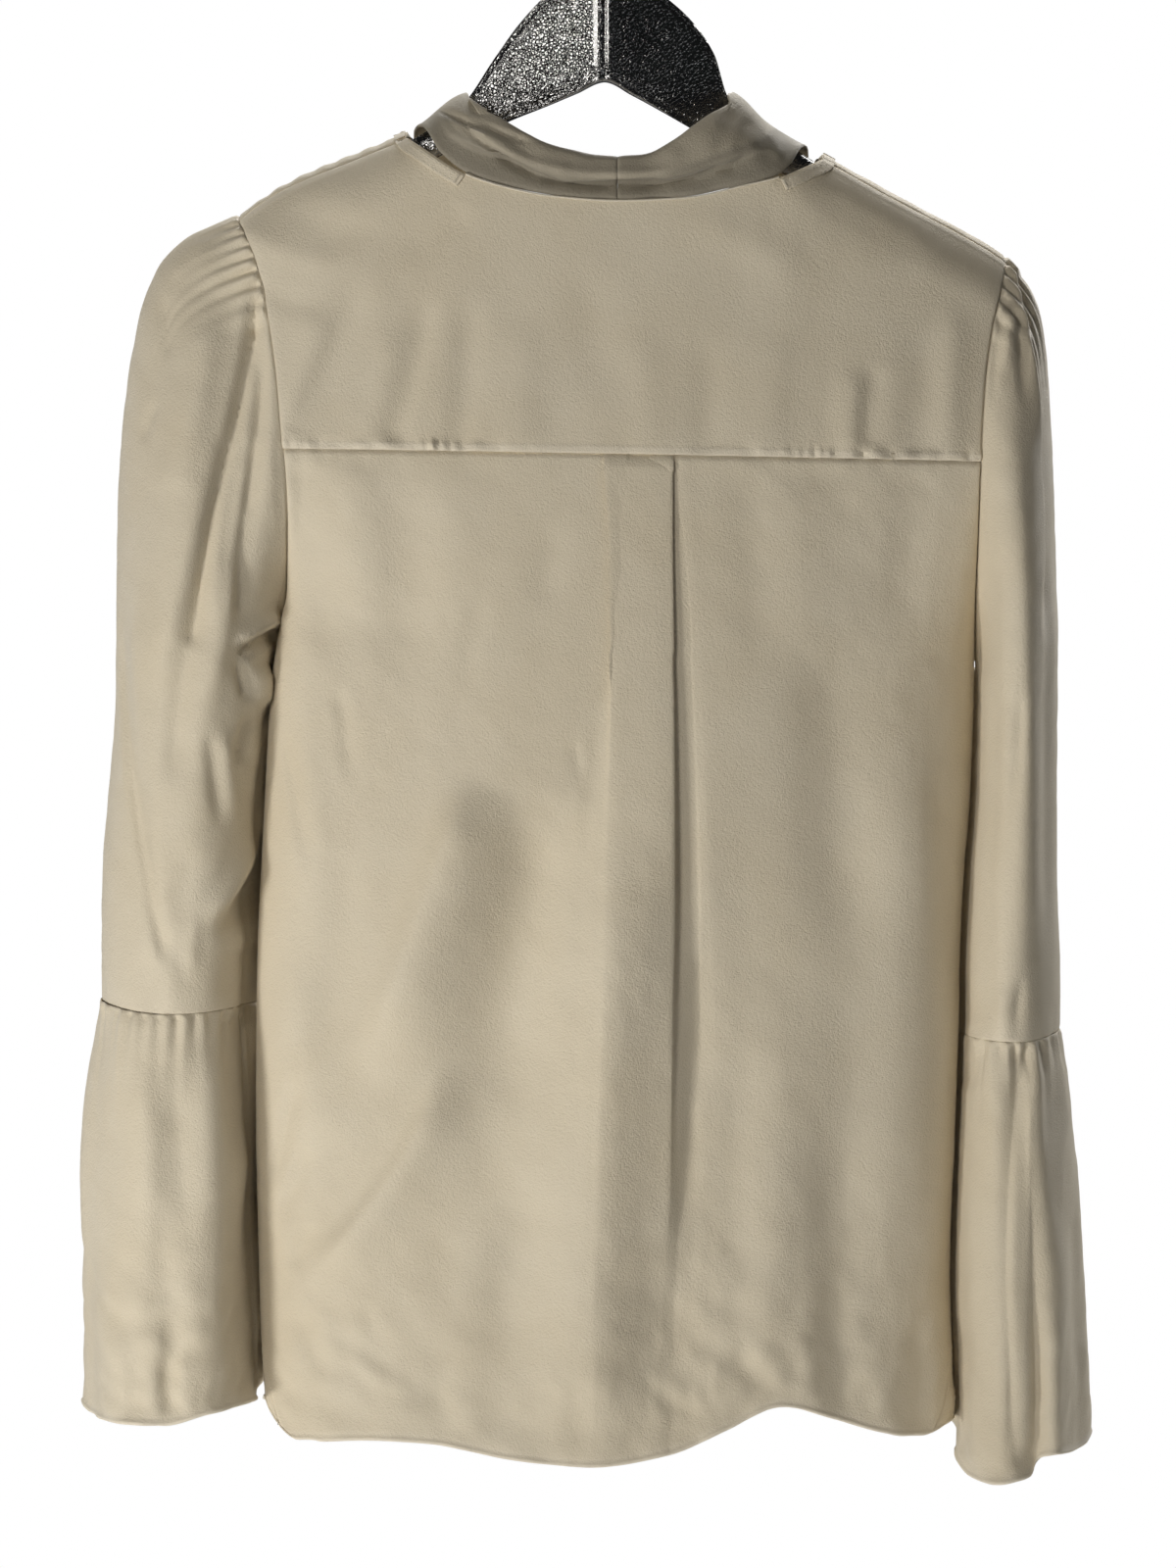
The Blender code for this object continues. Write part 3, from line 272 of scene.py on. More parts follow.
RIGHT_HEAD = [Gather(*row) for row in (
    (182.4, 1.3, -1.1, 10), (185.4, 1.4, 1.3, 14), (188.6, 1.4, -1.7, 22), (192, 1.6, 1.7, 30),
    (195.4, 1.3, -1.9, 24), (198.6, 1.6, 1.7, 16), (202, 1.3, -2.0, 20), (205.2, 1.6, 1.9, 24),
    (208.8, 1.4, -1.8, 14), (212.6, 2.0, 1.5, 18), (217.4, 1.6, -1.3, 10), (222.6, 2.4, 1.0, 14),
    (179, 1.5, 0.9, 10), (175.4, 1.5, -1.4, 22), (171.6, 1.6, 1.4, 16), (167.4, 1.6, -1.6, 28),
    (163, 1.8, 1.5, 14), (158.4, 1.6, -1.5, 24), (153.6, 1.9, 1.3, 16), (148.6, 1.7, -1.5, 22),
    (142.6, 2.2, 1.2, 14), (136, 2.2, -1.0, 12),
)]
LEFT_GATHERS = [Gather(*row) for row in (
    (196, 3.5, 0.8, 14), (203, 3.0, -1.2, 19), (211, 3.6, 1.0, 15), (220, 3.0, -0.7, 9),
    (227, 3.2, -1.2, 21), (233, 3.4, 1.0, 16), (240, 3.2, -1.5, 25), (247, 3.6, 1.1, 20),
    (253, 3.0, -1.4, 13), (259, 3.2, 1.0, 14), (265, 3.0, -1.2, 11), (272, 3.6, 1.4, 20),
    (279.5, 3.2, -2.2, 14), (286, 3.4, 1.6, 19), (294, 3.0, -1.5, 10), (301, 3.4, 1.2, 16),
    (307.5, 3.0, -1.0, 8), (316, 4.0, 0.9, 16), (325, 3.4, -1.6, 29), (334, 4.0, 1.0, 16),
    (344, 3.6, -1.2, 14), (353, 3.8, 0.9, 12), (4, 3.4, -1.2, 16), (14, 3.8, 1.0, 14),
    (24, 3.4, -1.5, 21), (36, 4.2, 1.2, 16), (47, 3.2, -1.3, 12), (57, 3.8, 1.1, 19),
    (68, 3.4, -1.6, 23), (80, 4.0, 1.3, 15), (91, 3.2, -1.1, 11), (101, 3.6, 1.2, 16),
    (112, 3.4, -1.7, 24), (124, 4.2, 1.2, 16), (136, 3.2, -1.2, 13), (147, 3.8, 1.0, 15),
    (158, 3.2, -1.5, 20), (170, 4.0, 1.0, 13), (183, 3.2, -1.2, 15),
)]
RIGHT_GATHERS = [Gather(*row) for row in (
    (190, 3.6, 0.9, 13), (200, 3.2, -1.3, 18), (210, 3.8, 1.0, 14), (221, 3.2, -1.2, 12),
    (231, 3.6, 1.1, 19), (240, 3.0, -1.4, 15), (249, 3.2, 1.2, 22), (258, 3.0, -2.0, 16),
    (266, 3.2, 0.9, 11), (272, 2.8, -1.8, 14), (281, 3.4, 1.2, 16), (291, 3.2, -1.0, 9),
    (301, 3.8, 1.1, 15), (314, 3.4, -1.8, 20), (326, 4.0, 1.0, 14), (338, 3.4, -1.1, 13),
    (350, 3.8, 0.9, 11), (2, 3.4, -1.3, 19), (14, 4.0, 1.1, 15), (26, 3.2, -1.2, 12),
    (38, 3.8, 1.2, 20), (50, 3.4, -1.7, 24), (62, 4.0, 1.1, 13), (74, 3.2, -1.2, 16),
    (86, 3.8, 1.0, 14), (97, 3.2, -1.4, 21), (109, 4.0, 1.2, 16), (121, 3.4, -1.2, 12),
    (132, 3.6, 1.1, 18), (144, 3.4, -1.6, 22), (156, 4.0, 1.0, 13), (168, 3.2, -1.1, 14),
    (179, 3.6, 0.8, 11),
)]

# Creases: a curved line through three points, its half-width, how far out the cloth stands on it
# (in where negative), how much wider its right side is, and 1 where it keeps its depth at an end
Crease = namedtuple("Crease", "x0 z0 x1 z1 x2 z2 width out lean start end")
YOKE_CREASES = [Crease(*row) for row in (
    (-122.5, -245, -138.5, -282.5, -158.5, -325, 9, -1.9, 0.3, 0, 1),
    (-143.5, -247.5, -151, -287.5, -160.5, -328.5, 10, 2.1, 0, 0, 1),
    (-88.5, -252.5, -96, -287.5, -107.5, -327.5, 8, -1.7, -0.2, 0, 1),
    (-106, -267.5, -111, -297.5, -118.5, -330.5, 9, 1.3, 0, 0, 1),
    (-68.5, -252.5, -69.5, -287.5, -73.5, -330.5, 8, -1.3, 0, 0, 1),
    (-43.5, -262.5, -41.5, -297.5, -42.5, -332.5, 12, 1.1, 0, 0, 1),
    (-8.5, -237.5, -5.5, -272.5, -2.5, -312.5, 12, -0.9, 0, 0, 0),
    (19, -267.5, 21.5, -302.5, 23.5, -333.5, 10, 0.9, 0, 0, 1),
    (51.5, -272.5, 52.5, -302.5, 51.5, -333.5, 9, -1.1, 0, 0, 1),
    (86.5, -267.5, 84.5, -302.5, 81.5, -333.5, 12, 1.1, 0, 0, 1),
    (137.5, -287.5, 133.5, -307.5, 131.5, -330, 6, -1.6, 0.5, 0, 1),
    (125.5, -287.5, 124.5, -310, 124.5, -331.5, 8, 1.4, 0, 0, 1),
    (161.5, -267.5, 159.5, -302.5, 156.5, -335, 10, -1.3, 0, 0, 1),
    (179, -252.5, 176.5, -292.5, 175.5, -335, 8, 1.5, 0, 0, 1),
    (-166, -202.5, -143.5, -217.5, -98.5, -227.5, 10, -1.1, 0, 0, 0),
    (-183.5, -220, -158.5, -233.5, -128.5, -237.5, 8, 1.3, 0, 1, 0),
    (-177.5, -247.5, -158.5, -257.5, -133.5, -260, 7, -1.1, 0, 1, 0),
    (41.5, -215, 71.5, -227.5, 111.5, -247.5, 12, 1.1, 0, 0, 0),
    (101.5, -197.5, 131.5, -217.5, 171.5, -237.5, 10, -1.1, 0, 0, 0),
    (-68.5, -207.5, -83.5, -222.5, -108.5, -235, 9, -0.9, 0, 0, 0),
)]
BACK_CREASES = [Crease(*row) for row in (
    (-158.5, -340, -149.5, -390, -138.5, -442.5, 13, -1.8, 0.2, 1, 0),
    (-136, -450, -132.5, -475, -129.5, -505, 4, -0.9, 0.3, 0, 0),
    (-164, -470, -157, -507.5, -148.5, -555, 4.5, -1.2, 0.3, 0, 0),
    (-92.5, -347.5, -96, -397.5, -99.5, -457.5, 15, -1.4, 0, 0, 0),
    (-25.5, -367.5, -28.5, -392.5, -32.5, -417.5, 9, -0.9, 0, 0, 0),
    (-62.5, -402.5, -67.5, -430, -72, -457.5, 5, -0.7, 0, 0, 0),
    (-17, -478.5, -14.5, -488.5, -12, -500, 3, -0.6, 0, 0, 0),
    (-63.5, -497.5, -88.5, -565, -122.5, -660, 20, 8.0, 0.4, 0, 0),
    (-128.5, -527.5, -136, -592.5, -149.5, -652.5, 11, -1.6, 0, 0, 0),
    (-28.5, -502.5, -46.5, -587.5, -65.5, -697.5, 26, -6.5, 0, 0, 0),
    (-77.5, -642.5, -106.5, -702.5, -155.5, -762.5, 11, 5.0, 0.35, 0, 0),
    (-48.5, -662.5, -68.5, -717.5, -98.5, -767.5, 16, -2.4, 0, 0, 0),
    (-155.5, -647.5, -163, -677.5, -172.5, -715, 5, -1.5, 0.3, 0, 0),
    (-150.5, -685, -157, -702.5, -165.5, -725, 4.5, -1.4, 0.2, 0, 0),
    (-148.5, -725, -154.5, -737.5, -158.5, -750.5, 5, -1.3, 0, 0, 0),
    (-155.5, -375, -152.5, -482.5, -147.5, -582.5, 14, 2.2, 0, 0, 0),
    (-158.5, -582.5, -152.5, -647.5, -143.5, -692.5, 16, 2.2, 0, 0, 0),
    (11.5, -522.5, -2.5, -652.5, -8.5, -817.5, 27, 6.4, 0, 0, 1),
    (41.5, -552.5, 44.5, -652.5, 36.5, -752.5, 9, -2.0, 0.4, 0, 0),
    (25.5, -737.5, 27.5, -782.5, 24, -837.5, 20, -2.2, 0, 0, 1),
    (116.5, -407.5, 119.5, -502.5, 125.5, -607.5, 20, -3.0, 0, 0, 0),
    (147.5, -447.5, 155.5, -607.5, 149, -782.5, 26, 4.6, 0, 0, 0),
    (91.5, -592.5, 87.5, -692.5, 92.5, -817.5, 24, 2.4, 0, 0, 1),
    (120.5, -662.5, 117.5, -742.5, 119.5, -822.5, 15, -2.0, 0, 0, 1),
    (170.5, -482.5, 174.5, -552.5, 172.5, -627.5, 9, -1.4, 0, 0, 0),
    (-38.5, -692.5, -46, -747.5, -58.5, -802.5, 18, -2.2, 0, 0, 0),
    (71.5, -627.5, 65.5, -692.5, 60.5, -762.5, 14, -1.6, 0, 0, 0),
    (101.5, -352.5, 106.5, -402.5, 112.5, -462.5, 16, 1.0, 0, 1, 0),
    (159, -342.5, 156.5, -382.5, 147.5, -432.5, 12, -1.4, 0, 1, 0),
    (-126, -342.5, -122.5, -382.5, -116, -422.5, 14, 1.0, 0, 1, 0),
    (71.5, -342.5, 75.5, -392.5, 81.5, -452.5, 12, -0.8, 0, 1, 0),
    (-141, -775, -122.5, -792.5, -102.5, -798.5, 6, -1.2, 0, 0, 0),
    (-132.5, -786.5, -112.5, -803.5, -93.5, -811.5, 5, 1.0, 0, 0, 0),
    (-158.5, -767.5, -149.5, -787.5, -143.5, -808.5, 6, -1.1, 0, 0, 0),
    (-122.5, -762.5, -118.5, -777.5, -108.5, -790.5, 5, -0.9, 0, 0, 0),
    (-88.5, -792.5, -82.5, -812.5, -79.5, -833.5, 8, -1.2, 0, 0, 1),
    (44, -777.5, 62.5, -793.5, 81.5, -798.5, 6, -1.0, 0, 0, 0),
    (61.5, -772.5, 76.5, -802.5, 86.5, -815, 7, -1.2, 0, 0, 1),
    (96.5, -778.5, 101.5, -797.5, 104.5, -814.5, 6, 1.0, 0, 0, 1),
    (16.5, -802.5, 36.5, -816.5, 51.5, -822.5, 5, -0.8, 0, 0, 0),
    (-28.5, -795, -23.5, -817.5, -22.5, -842.5, 8, 1.0, 0, 0, 1),
    (159, -767.5, 162.5, -802.5, 161.5, -830, 8, -1.6, 0, 0, 1),
    (131.5, -792.5, 141.5, -812.5, 144, -830, 7, 1.0, 0, 0, 1),
)]
FRONT_CREASES = [Crease(*row) for row in (
    (-135, -205, -138, -380, -130, -560, 11, 2.6, 0, 0, 0),
    (-118, -215, -116, -360, -104, -520, 9, -2.4, 0.2, 0, 0),
    (-95, -235, -92, -330, -96, -430, 7, 1.4, 0, 0, 0),
    (-152, -300, -160, -470, -150, -640, 9, -1.8, 0, 0, 0),
    (-72, -250, -64, -400, -70, -560, 12, 1.8, 0, 0, 0),
    (-40, -300, -34, -520, -48, -800, 22, 3.6, 0, 0, 1),
    (-8, -420, -2, -600, -10, -810, 16, -3.0, 0, 0, 1),
    (34, -400, 42, -600, 46, -805, 22, 3.8, 0, 0, 1),
    (84, -330, 80, -520, 86, -760, 15, -2.6, 0.2, 0, 0),
    (126, -260, 132, -420, 142, -620, 15, 2.8, 0, 0, 0),
    (158, -330, 164, -500, 158, -680, 10, -2.0, 0, 0, 0),
    (112, -600, 122, -700, 118, -815, 15, -2.6, 0, 0, 1),
    (150, -560, 154, -690, 150, -815, 14, 2.4, 0, 0, 1),
    (-96, -560, -92, -690, -86, -820, 15, -2.8, 0, 0, 1),
    (-134, -600, -130, -710, -136, -815, 14, 2.6, 0, 0, 1),
    (-70, -640, -60, -720, -62, -780, 5, -1.2, 0.3, 0, 0),
    (12, -330, 16, -372, 14, -430, 6, -1.3, 0, 0, 0),
    (-20, -340, -14, -380, -4, -430, 5, 0.9, 0, 0, 0),
    (70, -760, 84, -786, 100, -796, 6, -1.1, 0, 0, 0),
    (-40, -770, -20, -790, 6, -798, 6, -1.0, 0, 0, 0),
)]
FRONT_DEPTH = 2.5        # all of the front's creases are this much deeper than listed
# Gathers along the front's shoulder seams: X, half-width, how far out, how far down they run
ShoulderGather = namedtuple("ShoulderGather", "x width out length")
SHOULDER_GATHERS = [ShoulderGather(*row) for row in (
    (-178, 3.2, 0.48, 26), (-172.5, 2.6, -0.54, 34), (-167, 3.5, 0.58, 28), (-161.5, 2.8, -0.51, 40),
    (-155.5, 3.8, 0.68, 36), (-149, 2.9, -0.58, 30), (-143.5, 3.3, 0.54, 44), (-138, 2.6, -0.62, 36),
    (-132.5, 3.6, 0.68, 30), (-126.5, 2.8, -0.51, 48), (-121, 3.5, 0.62, 34), (-115.5, 2.6, -0.58, 42),
    (-110, 3.5, 0.58, 30), (-105, 2.6, -0.41, 22),
    (119, 2.4, 0.20, 26), (127, 2.0, -0.30, 36), (136, 3.2, 0.20, 30), (145, 2.2, -0.30, 42),
    (156, 3.4, 0.20, 28), (165, 2.0, -0.25, 36), (177, 3.0, 0.20, 30), (187, 2.6, -0.20, 22),
)]
LEFT_SLEEVE_BACK = [Crease(*row) for row in (
    (-174.5, -245.5, -181.5, -290, -189.5, -327.5, 6.0, -7.6, 0.35, 1, 1),
    (-189.5, -327.5, -201.5, -380, -212.5, -430, 7.5, -7.4, 0.35, 1, 1),
    (-212.5, -430, -218, -465, -220, -507.5, 9, -4.6, 0.2, 1, 0),
    (-177.5, -267.5, -183.5, -312.5, -192.5, -352.5, 3.6, 2.6, 0, 0, 1),
    (-192.5, -352.5, -197.5, -387.5, -200.5, -427.5, 4, 2.6, 0, 1, 0),
    (-171, -275, -176.5, -322.5, -181.5, -362.5, 4, -4.6, 0.3, 1, 1),
    (-181.5, -362.5, -185.5, -397.5, -187.5, -422.5, 4.5, -3.4, 0.3, 1, 0),
    (-189.5, -382.5, -193.5, -422.5, -202.5, -462.5, 7, 3.2, -0.2, 0, 0),
    (-197.5, -252.5, -206.5, -302.5, -215.5, -352.5, 13, 4.6, -0.2, 0, 1),
    (-215.5, -352.5, -224.5, -402.5, -229.5, -462.5, 15, 3.4, 0, 1, 0),
    (-226, -252.5, -223.5, -270, -222.5, -288.5, 4, -1.3, 0, 0, 0),
    (-228, -306.5, -232.5, -317.5, -236, -328.5, 3.5, -1.0, 0, 0, 0),
    (-247.5, -397.5, -245, -472.5, -233.5, -552.5, 4, -2.6, 0.5, 0, 1),
    (-233.5, -552.5, -228.5, -575, -222, -595, 4, -2.6, 0.3, 1, 0),
    (-166.5, -417.5, -177.5, -424.5, -190.5, -433.5, 4.5, 3.6, 0, 1, 0),
    (-167.5, -425.5, -177.5, -430.5, -188.5, -438.5, 3.2, -5.2, 0, 1, 0),
    (-187.5, -436.5, -183.5, -449.5, -181.5, -460.5, 3.4, -3.6, 0, 0, 0),
    (-174.5, -440.5, -174.5, -453.5, -175.5, -464.5, 5.5, 4.6, 0, 0, 0),
    (-177.5, -464.5, -182.5, -478.5, -185.5, -494.5, 4, -4.2, 0, 0, 0),
    (-195.5, -470, -191.5, -497.5, -188, -528.5, 4, 1.8, 0, 0, 0),
    (-201.5, -472.5, -198.5, -497.5, -195.5, -527.5, 4, -1.6, 0, 0, 0),
    (-170.5, -508.5, -183.5, -544.5, -208.5, -575.5, 5, 4.4, 0, 1, 0),
    (-172.5, -527.5, -181.5, -560, -197.5, -582.5, 6, -5.0, 0, 1, 0),
    (-205.5, -567.5, -209.5, -582.5, -210, -602.5, 4, 1.4, 0, 0, 0),
    (-185.5, -582.5, -189.5, -597.5, -192.5, -613.5, 5, -1.8, 0, 0, 1),
    (-238.5, -585, -233.5, -602.5, -232.5, -617.5, 6, -1.2, 0, 0, 1),
    (-219.5, -590, -220.5, -605, -218.5, -619.5, 5, 1.2, 0, 0, 1),
    (-208.5, -532.5, -213.5, -555, -216.5, -577.5, 8, -1.6, 0, 0, 0),
    (-203.5, -222.5, -213.5, -233.5, -222.5, -247.5, 6, 1.2, 0, 0, 0),
)]
LEFT_SLEEVE_FRONT = [Crease(*row) for row in (
    (-180, -245, -196, -330, -206, -430, 8, -3.0, 0.2, 1, 0),
    (-200, -250, -222, -340, -232, -450, 10, 2.4, 0, 0, 0),
    (-212, -400, -222, -500, -226, -600, 9, -2.8, 0, 0, 1),
    (-240, -380, -244, -500, -238, -610, 8, -2.0, 0.3, 0, 1),
    (-178, -436, -194, -470, -212, -500, 7, -1.8, 0, 0, 0),
    (-184, -470, -196, -520, -214, -560, 6, -2.6, 0, 0, 0),
    (-196, -470, -208, -520, -226, -560, 6, 2.2, 0, 0, 0),
    (-196, -560, -200, -590, -198, -612, 6, 1.6, 0, 0, 1),
)]
RIGHT_SLEEVE_BACK = [Crease(*row) for row in (
    (212.5, -240.5, 222.5, -292.5, 225.5, -337.5, 4, -3.4, 0.5, 1, 1),
    (225.5, -337.5, 227, -382.5, 223, -432.5, 4.5, -3.0, 0.5, 1, 0),
    (217.5, -252.5, 221.5, -292.5, 222.5, -337.5, 5, 1.6, 0, 0, 0),
    (206.5, -261.5, 205.5, -275, 202.5, -295, 5, 2.6, 0, 0, 0),
    (201.5, -265.5, 197.5, -282.5, 195.5, -312.5, 3, -2.2, 0, 1, 0),
    (209.5, -257.5, 212.5, -277.5, 213.5, -312.5, 3, -1.8, 0, 1, 0),
    (203.5, -302.5, 202.5, -352.5, 201.5, -402.5, 9, 1.8, 0, 0, 0),
    (201.5, -452.5, 209.5, -475, 206.5, -507.5, 6, -1.2, 0, 0, 0),
    (212.5, -442.5, 209.5, -482.5, 206.5, -522.5, 4, -1.2, 0, 0, 0),
    (211.5, -462.5, 214.5, -527.5, 211.5, -592.5, 9, 1.4, 0, 0, 0),
    (226.5, -422.5, 225.5, -502.5, 227.5, -602.5, 6, -1.8, 0, 0, 0),
    (212.5, -600, 210, -615, 208.5, -630.5, 3.5, -1.6, 0, 0, 1),
    (191.5, -542.5, 194.5, -587.5, 191.5, -630, 6, -1.4, 0, 0, 1),
    (197.5, -382.5, 194.5, -422.5, 193.5, -452.5, 6, -1.2, 0, 0, 0),
    (202.5, -602.5, 201.5, -617.5, 200.5, -632.5, 4, 1.0, 0, 0, 1),
)]
RIGHT_SLEEVE_FRONT = [Crease(*row) for row in (
    (202, -262, 212, -350, 214, -450, 7, -2.8, 0, 1, 0),
    (214, -270, 224, -360, 226, -460, 7, 2.0, 0, 0, 0),
    (194, -436, 206, -474, 222, -510, 7, -1.8, 0, 0, 0),
    (198, -480, 206, -540, 218, -590, 6, -2.6, 0, 0, 0),
    (210, -480, 218, -530, 226, -580, 6, 1.8, 0, 0, 0),
    (202, -580, 206, -605, 204, -628, 5, -1.4, 0, 0, 1),
)]
LEFT_FLOUNCE_BACK = [Crease(*row) for row in (
    (-191, -617.5, -188.5, -657.5, -185.5, -697.5, 8, -3.2, 0.3, 1, 0),
    (-182.5, -697.5, -180.5, -747.5, -183.5, -812.5, 8, -2.2, 0, 0, 1),
    (-213.5, -777.5, -220.5, -800, -218.5, -819.5, 5, -1.4, 0, 0, 1),
    (-190.5, -800, -196.5, -810, -201.5, -818.5, 4, -1.1, 0, 0, 0),
    (-258.5, -802.5, -252.5, -810.5, -244.5, -814.5, 4, -1.0, 0, 0, 0),
    (-202.5, -632.5, -199.5, -677.5, -197.5, -732.5, 9, 2.2, 0, 0, 0),
    (-233.5, -642.5, -233.5, -682.5, -230.5, -732.5, 9, 1.8, 0, 0, 0),
    (-255.5, -652.5, -254.5, -712.5, -256.5, -772.5, 8, -1.6, 0, 0, 0),
    (-217.5, -652.5, -215.5, -692.5, -212.5, -747.5, 8, -2.0, 0, 0, 0),
    (-244.5, -727.5, -241.5, -772.5, -239.5, -822.5, 8, -1.4, 0, 0, 1),
    (-228.5, -767.5, -228.5, -795, -230.5, -822.5, 7, 1.2, 0, 0, 1),
)]
RIGHT_FLOUNCE_BACK = [Crease(*row) for row in (
    (214, -635, 205.5, -692.5, 202.5, -752.5, 6, -3.0, -0.4, 1, 1),
    (202.5, -752.5, 205.5, -802.5, 209.5, -847.5, 6, -2.6, -0.4, 1, 1),
    (220.5, -645, 214.5, -702.5, 214, -837.5, 5, 2.2, 0.3, 0, 1),
    (191.5, -633.5, 188, -647.5, 184, -661.5, 4, -1.4, 0, 1, 0),
    (227.5, -632.5, 230.5, -692.5, 236.5, -752.5, 7, -2.4, 0, 0, 0),
    (240.5, -667.5, 243.5, -732.5, 242.5, -822.5, 6, -2.0, 0, 0, 0),
    (189.5, -692.5, 187.5, -767.5, 189.5, -847.5, 9, 1.6, 0, 0, 1),
    (229.5, -767.5, 227.5, -802.5, 228.5, -837.5, 6, 1.6, 0, 0, 1),
    (182.5, -772.5, 183.5, -802.5, 182.5, -842.5, 5, -1.2, 0, 0, 1),
    (195.5, -812.5, 199.5, -832.5, 197.5, -852.5, 6, -1.0, 0, 0, 1),
)]
TIE_CREASES = [Crease(*row) for row in (
    (-85.5, -158.5, -62.5, -168.5, -30.5, -178, 1.5, -2.4, 0, 1, 0),
    (64, -157.5, 62, -170, 52.5, -185, 5, -1.3, 0, 0, 0),
    (72.5, -161.5, 70.5, -172.5, 64, -181.5, 4, -1.0, 0, 0, 0),
    (-77.5, -161.5, -38.5, -191.5, 6.5, -197.5, 1.7, -2.6, 0, 0, 1),
    (-77.5, -157.5, -38.5, -186.5, 6.5, -193, 3.0, 1.4, 0, 0, 1),
    (6.5, -197.5, 49, -194.5, 74, -181.5, 1.7, -2.6, 0, 1, 0),
    (6.5, -193, 47.5, -190, 70.5, -178.5, 3.0, 1.4, 0, 1, 0),
    (-48.5, -170, -41, -180, -31, -188.5, 5, -0.9, 0, 0, 0),
    (84, -166.5, 86.5, -177.5, 91.5, -185.5, 4, 0.9, 0, 0, 0),
    (-23.5, -186.5, -20.5, -193.5, -16.5, -200.5, 4, 0.7, 0, 0, 0),
    (36.5, -177.5, 33.5, -188.5, 27.5, -198.5, 5, 0.8, 0, 0, 0),
)]

# The neck tie from the centre back outwards. Side is -1 behind the crest, 0 on it and 1 in front.
LEFT_BAND = Table("at side low_x low_z top_x top_z roll", [
    (0, -1, 6.5, -205.7, 6.5, -184, 1.0), (1, -1, -9, -205, -8, -182.5, 1.0),
    (2, -1, -28.5, -203, -27, -177.5, 0.9), (3, -1, -48.5, -199, -46, -166.5, 0.8),
    (4, -1, -70, -191.8, -58, -157.5, 0.6), (5, -1, -83.5, -181.4, -65, -153, 0.3),
    (6, 0, -96.5, -167, -71, -148.5, 0.0), (7, 1, -98.5, -180, -68, -162, 0.0),
    (8, 1, -103, -205, -63, -190, 0.0), (9, 1, -104, -240, -60, -232, 0.0),
    (10, 1, -104, -330, -60, -326, 0.0), (11, 1, -103, -450, -59, -450, 0.0),
    (12, 1, -104, -580, -60, -580, 0.0), (13, 1, -106, -710, -62, -710, 0.0),
    (14, 1, -107, -816, -63, -818, 0.0),
])
RIGHT_BAND = Table("at side low_x low_z top_x top_z roll", [
    (0, -1, 6.5, -205.7, 6.5, -184, 1.0), (1, -1, 24, -205.2, 22, -181.5, 1.0),
    (2, -1, 41.5, -204.2, 36, -174, 0.9), (3, -1, 60, -200.4, 47, -165, 0.75),
    (4, -1, 87, -193.2, 60, -152.5, 0.35), (5, -1, 95, -186.5, 63, -150.5, 0.0),
    (6, 0, 103.5, -176.7, 65.5, -149, 0.0), (7, 1, 105, -189, 65, -163, 0.0),
    (8, 1, 106.5, -213, 64, -192, 0.0), (9, 1, 107.5, -246, 63.5, -236, 0.0),
    (10, 1, 108, -330, 64, -328, 0.0), (11, 1, 107, -450, 63, -450, 0.0),
    (12, 1, 107.5, -580, 63.5, -580, 0.0), (13, 1, 108, -710, 64, -710, 0.0),
    (14, 1, 108.5, -824, 64.5, -821, 0.0),
])
# Section of the tie at the centre back: it stands, rolls out and turns over its own top edge
TIE_ROLL = Table("at out up straight", [
    (0, 0.0, 0.0, 0.0), (1, -2.4, 9.6, 0.17), (2, 3.6, 9.4, 0.30), (3, 6.0, 13.0, 0.46),
    (4, 3.2, 20.5, 0.64), (5, 0.0, 22.5, 0.78), (6, -3.2, 20.5, 0.89), (7, -4.2, 13.5, 1.0),
])
TIE_TOP = 22.5           # height of the rolled tie at the centre back

# The free neck edge that each strip is sewn to, from the slit to the centre front
LEFT_STRIP = Table("at side x z in_x in_z", [
    (0, -1, -71, -194.0, -74.5, -199.0), (1, -1, -80.3, -188.6, -83.8, -193.5),
    (2, -1, -90.7, -181.5, -94.2, -186.2), (3, -1, -99.5, -175.4, -103.6, -179.6),
    (4, -1, -101.6, -172.4, -107, -174.6), (5, 0, -101.6, -170, -107.4, -173),
    (6, 1, -101.6, -172.4, -107, -174.6), (7, 1, -99.8, -174.8, -105.2, -178),
    (8, 1, -96, -178.6, -101.4, -182.2), (9, 1, -90.8, -187.4, -95.9, -190.9),
    (10, 1, -72, -211.8, -77, -215.2), (11, 1, -53, -236.5, -58, -239.9),
    (12, 1, -34, -262.7, -39, -266), (13, 1, -15, -293.1, -19.8, -296.7),
    (14, 1, 4.2, -314.5, 4.2, -322),
])
RIGHT_STRIP = Table("at side x z in_x in_z", [
    (0, -1, 89, -195.6, 91.8, -200.9), (1, -1, 95.7, -192.9, 98.7, -198.1),
    (2, -1, 103.3, -189.1, 106.6, -194.1), (3, -1, 109.8, -186, 114.6, -190.2),
    (4, -1, 111.6, -183.4, 117.2, -186.4), (5, 0, 111.6, -181, 117.4, -184),
    (6, 1, 111.6, -183.4, 117.2, -186.4), (7, 1, 109.6, -185.4, 115.4, -189),
    (8, 1, 105.8, -189.4, 111.2, -193.2), (9, 1, 101, -195.4, 106, -199),
    (10, 1, 82, -216.2, 87, -219.6), (11, 1, 63, -239, 68, -242.4),
    (12, 1, 44, -264.8, 49, -268.1), (13, 1, 25, -294, 29.8, -297.6),
    (14, 1, 5.8, -314.5, 5.8, -322),
])

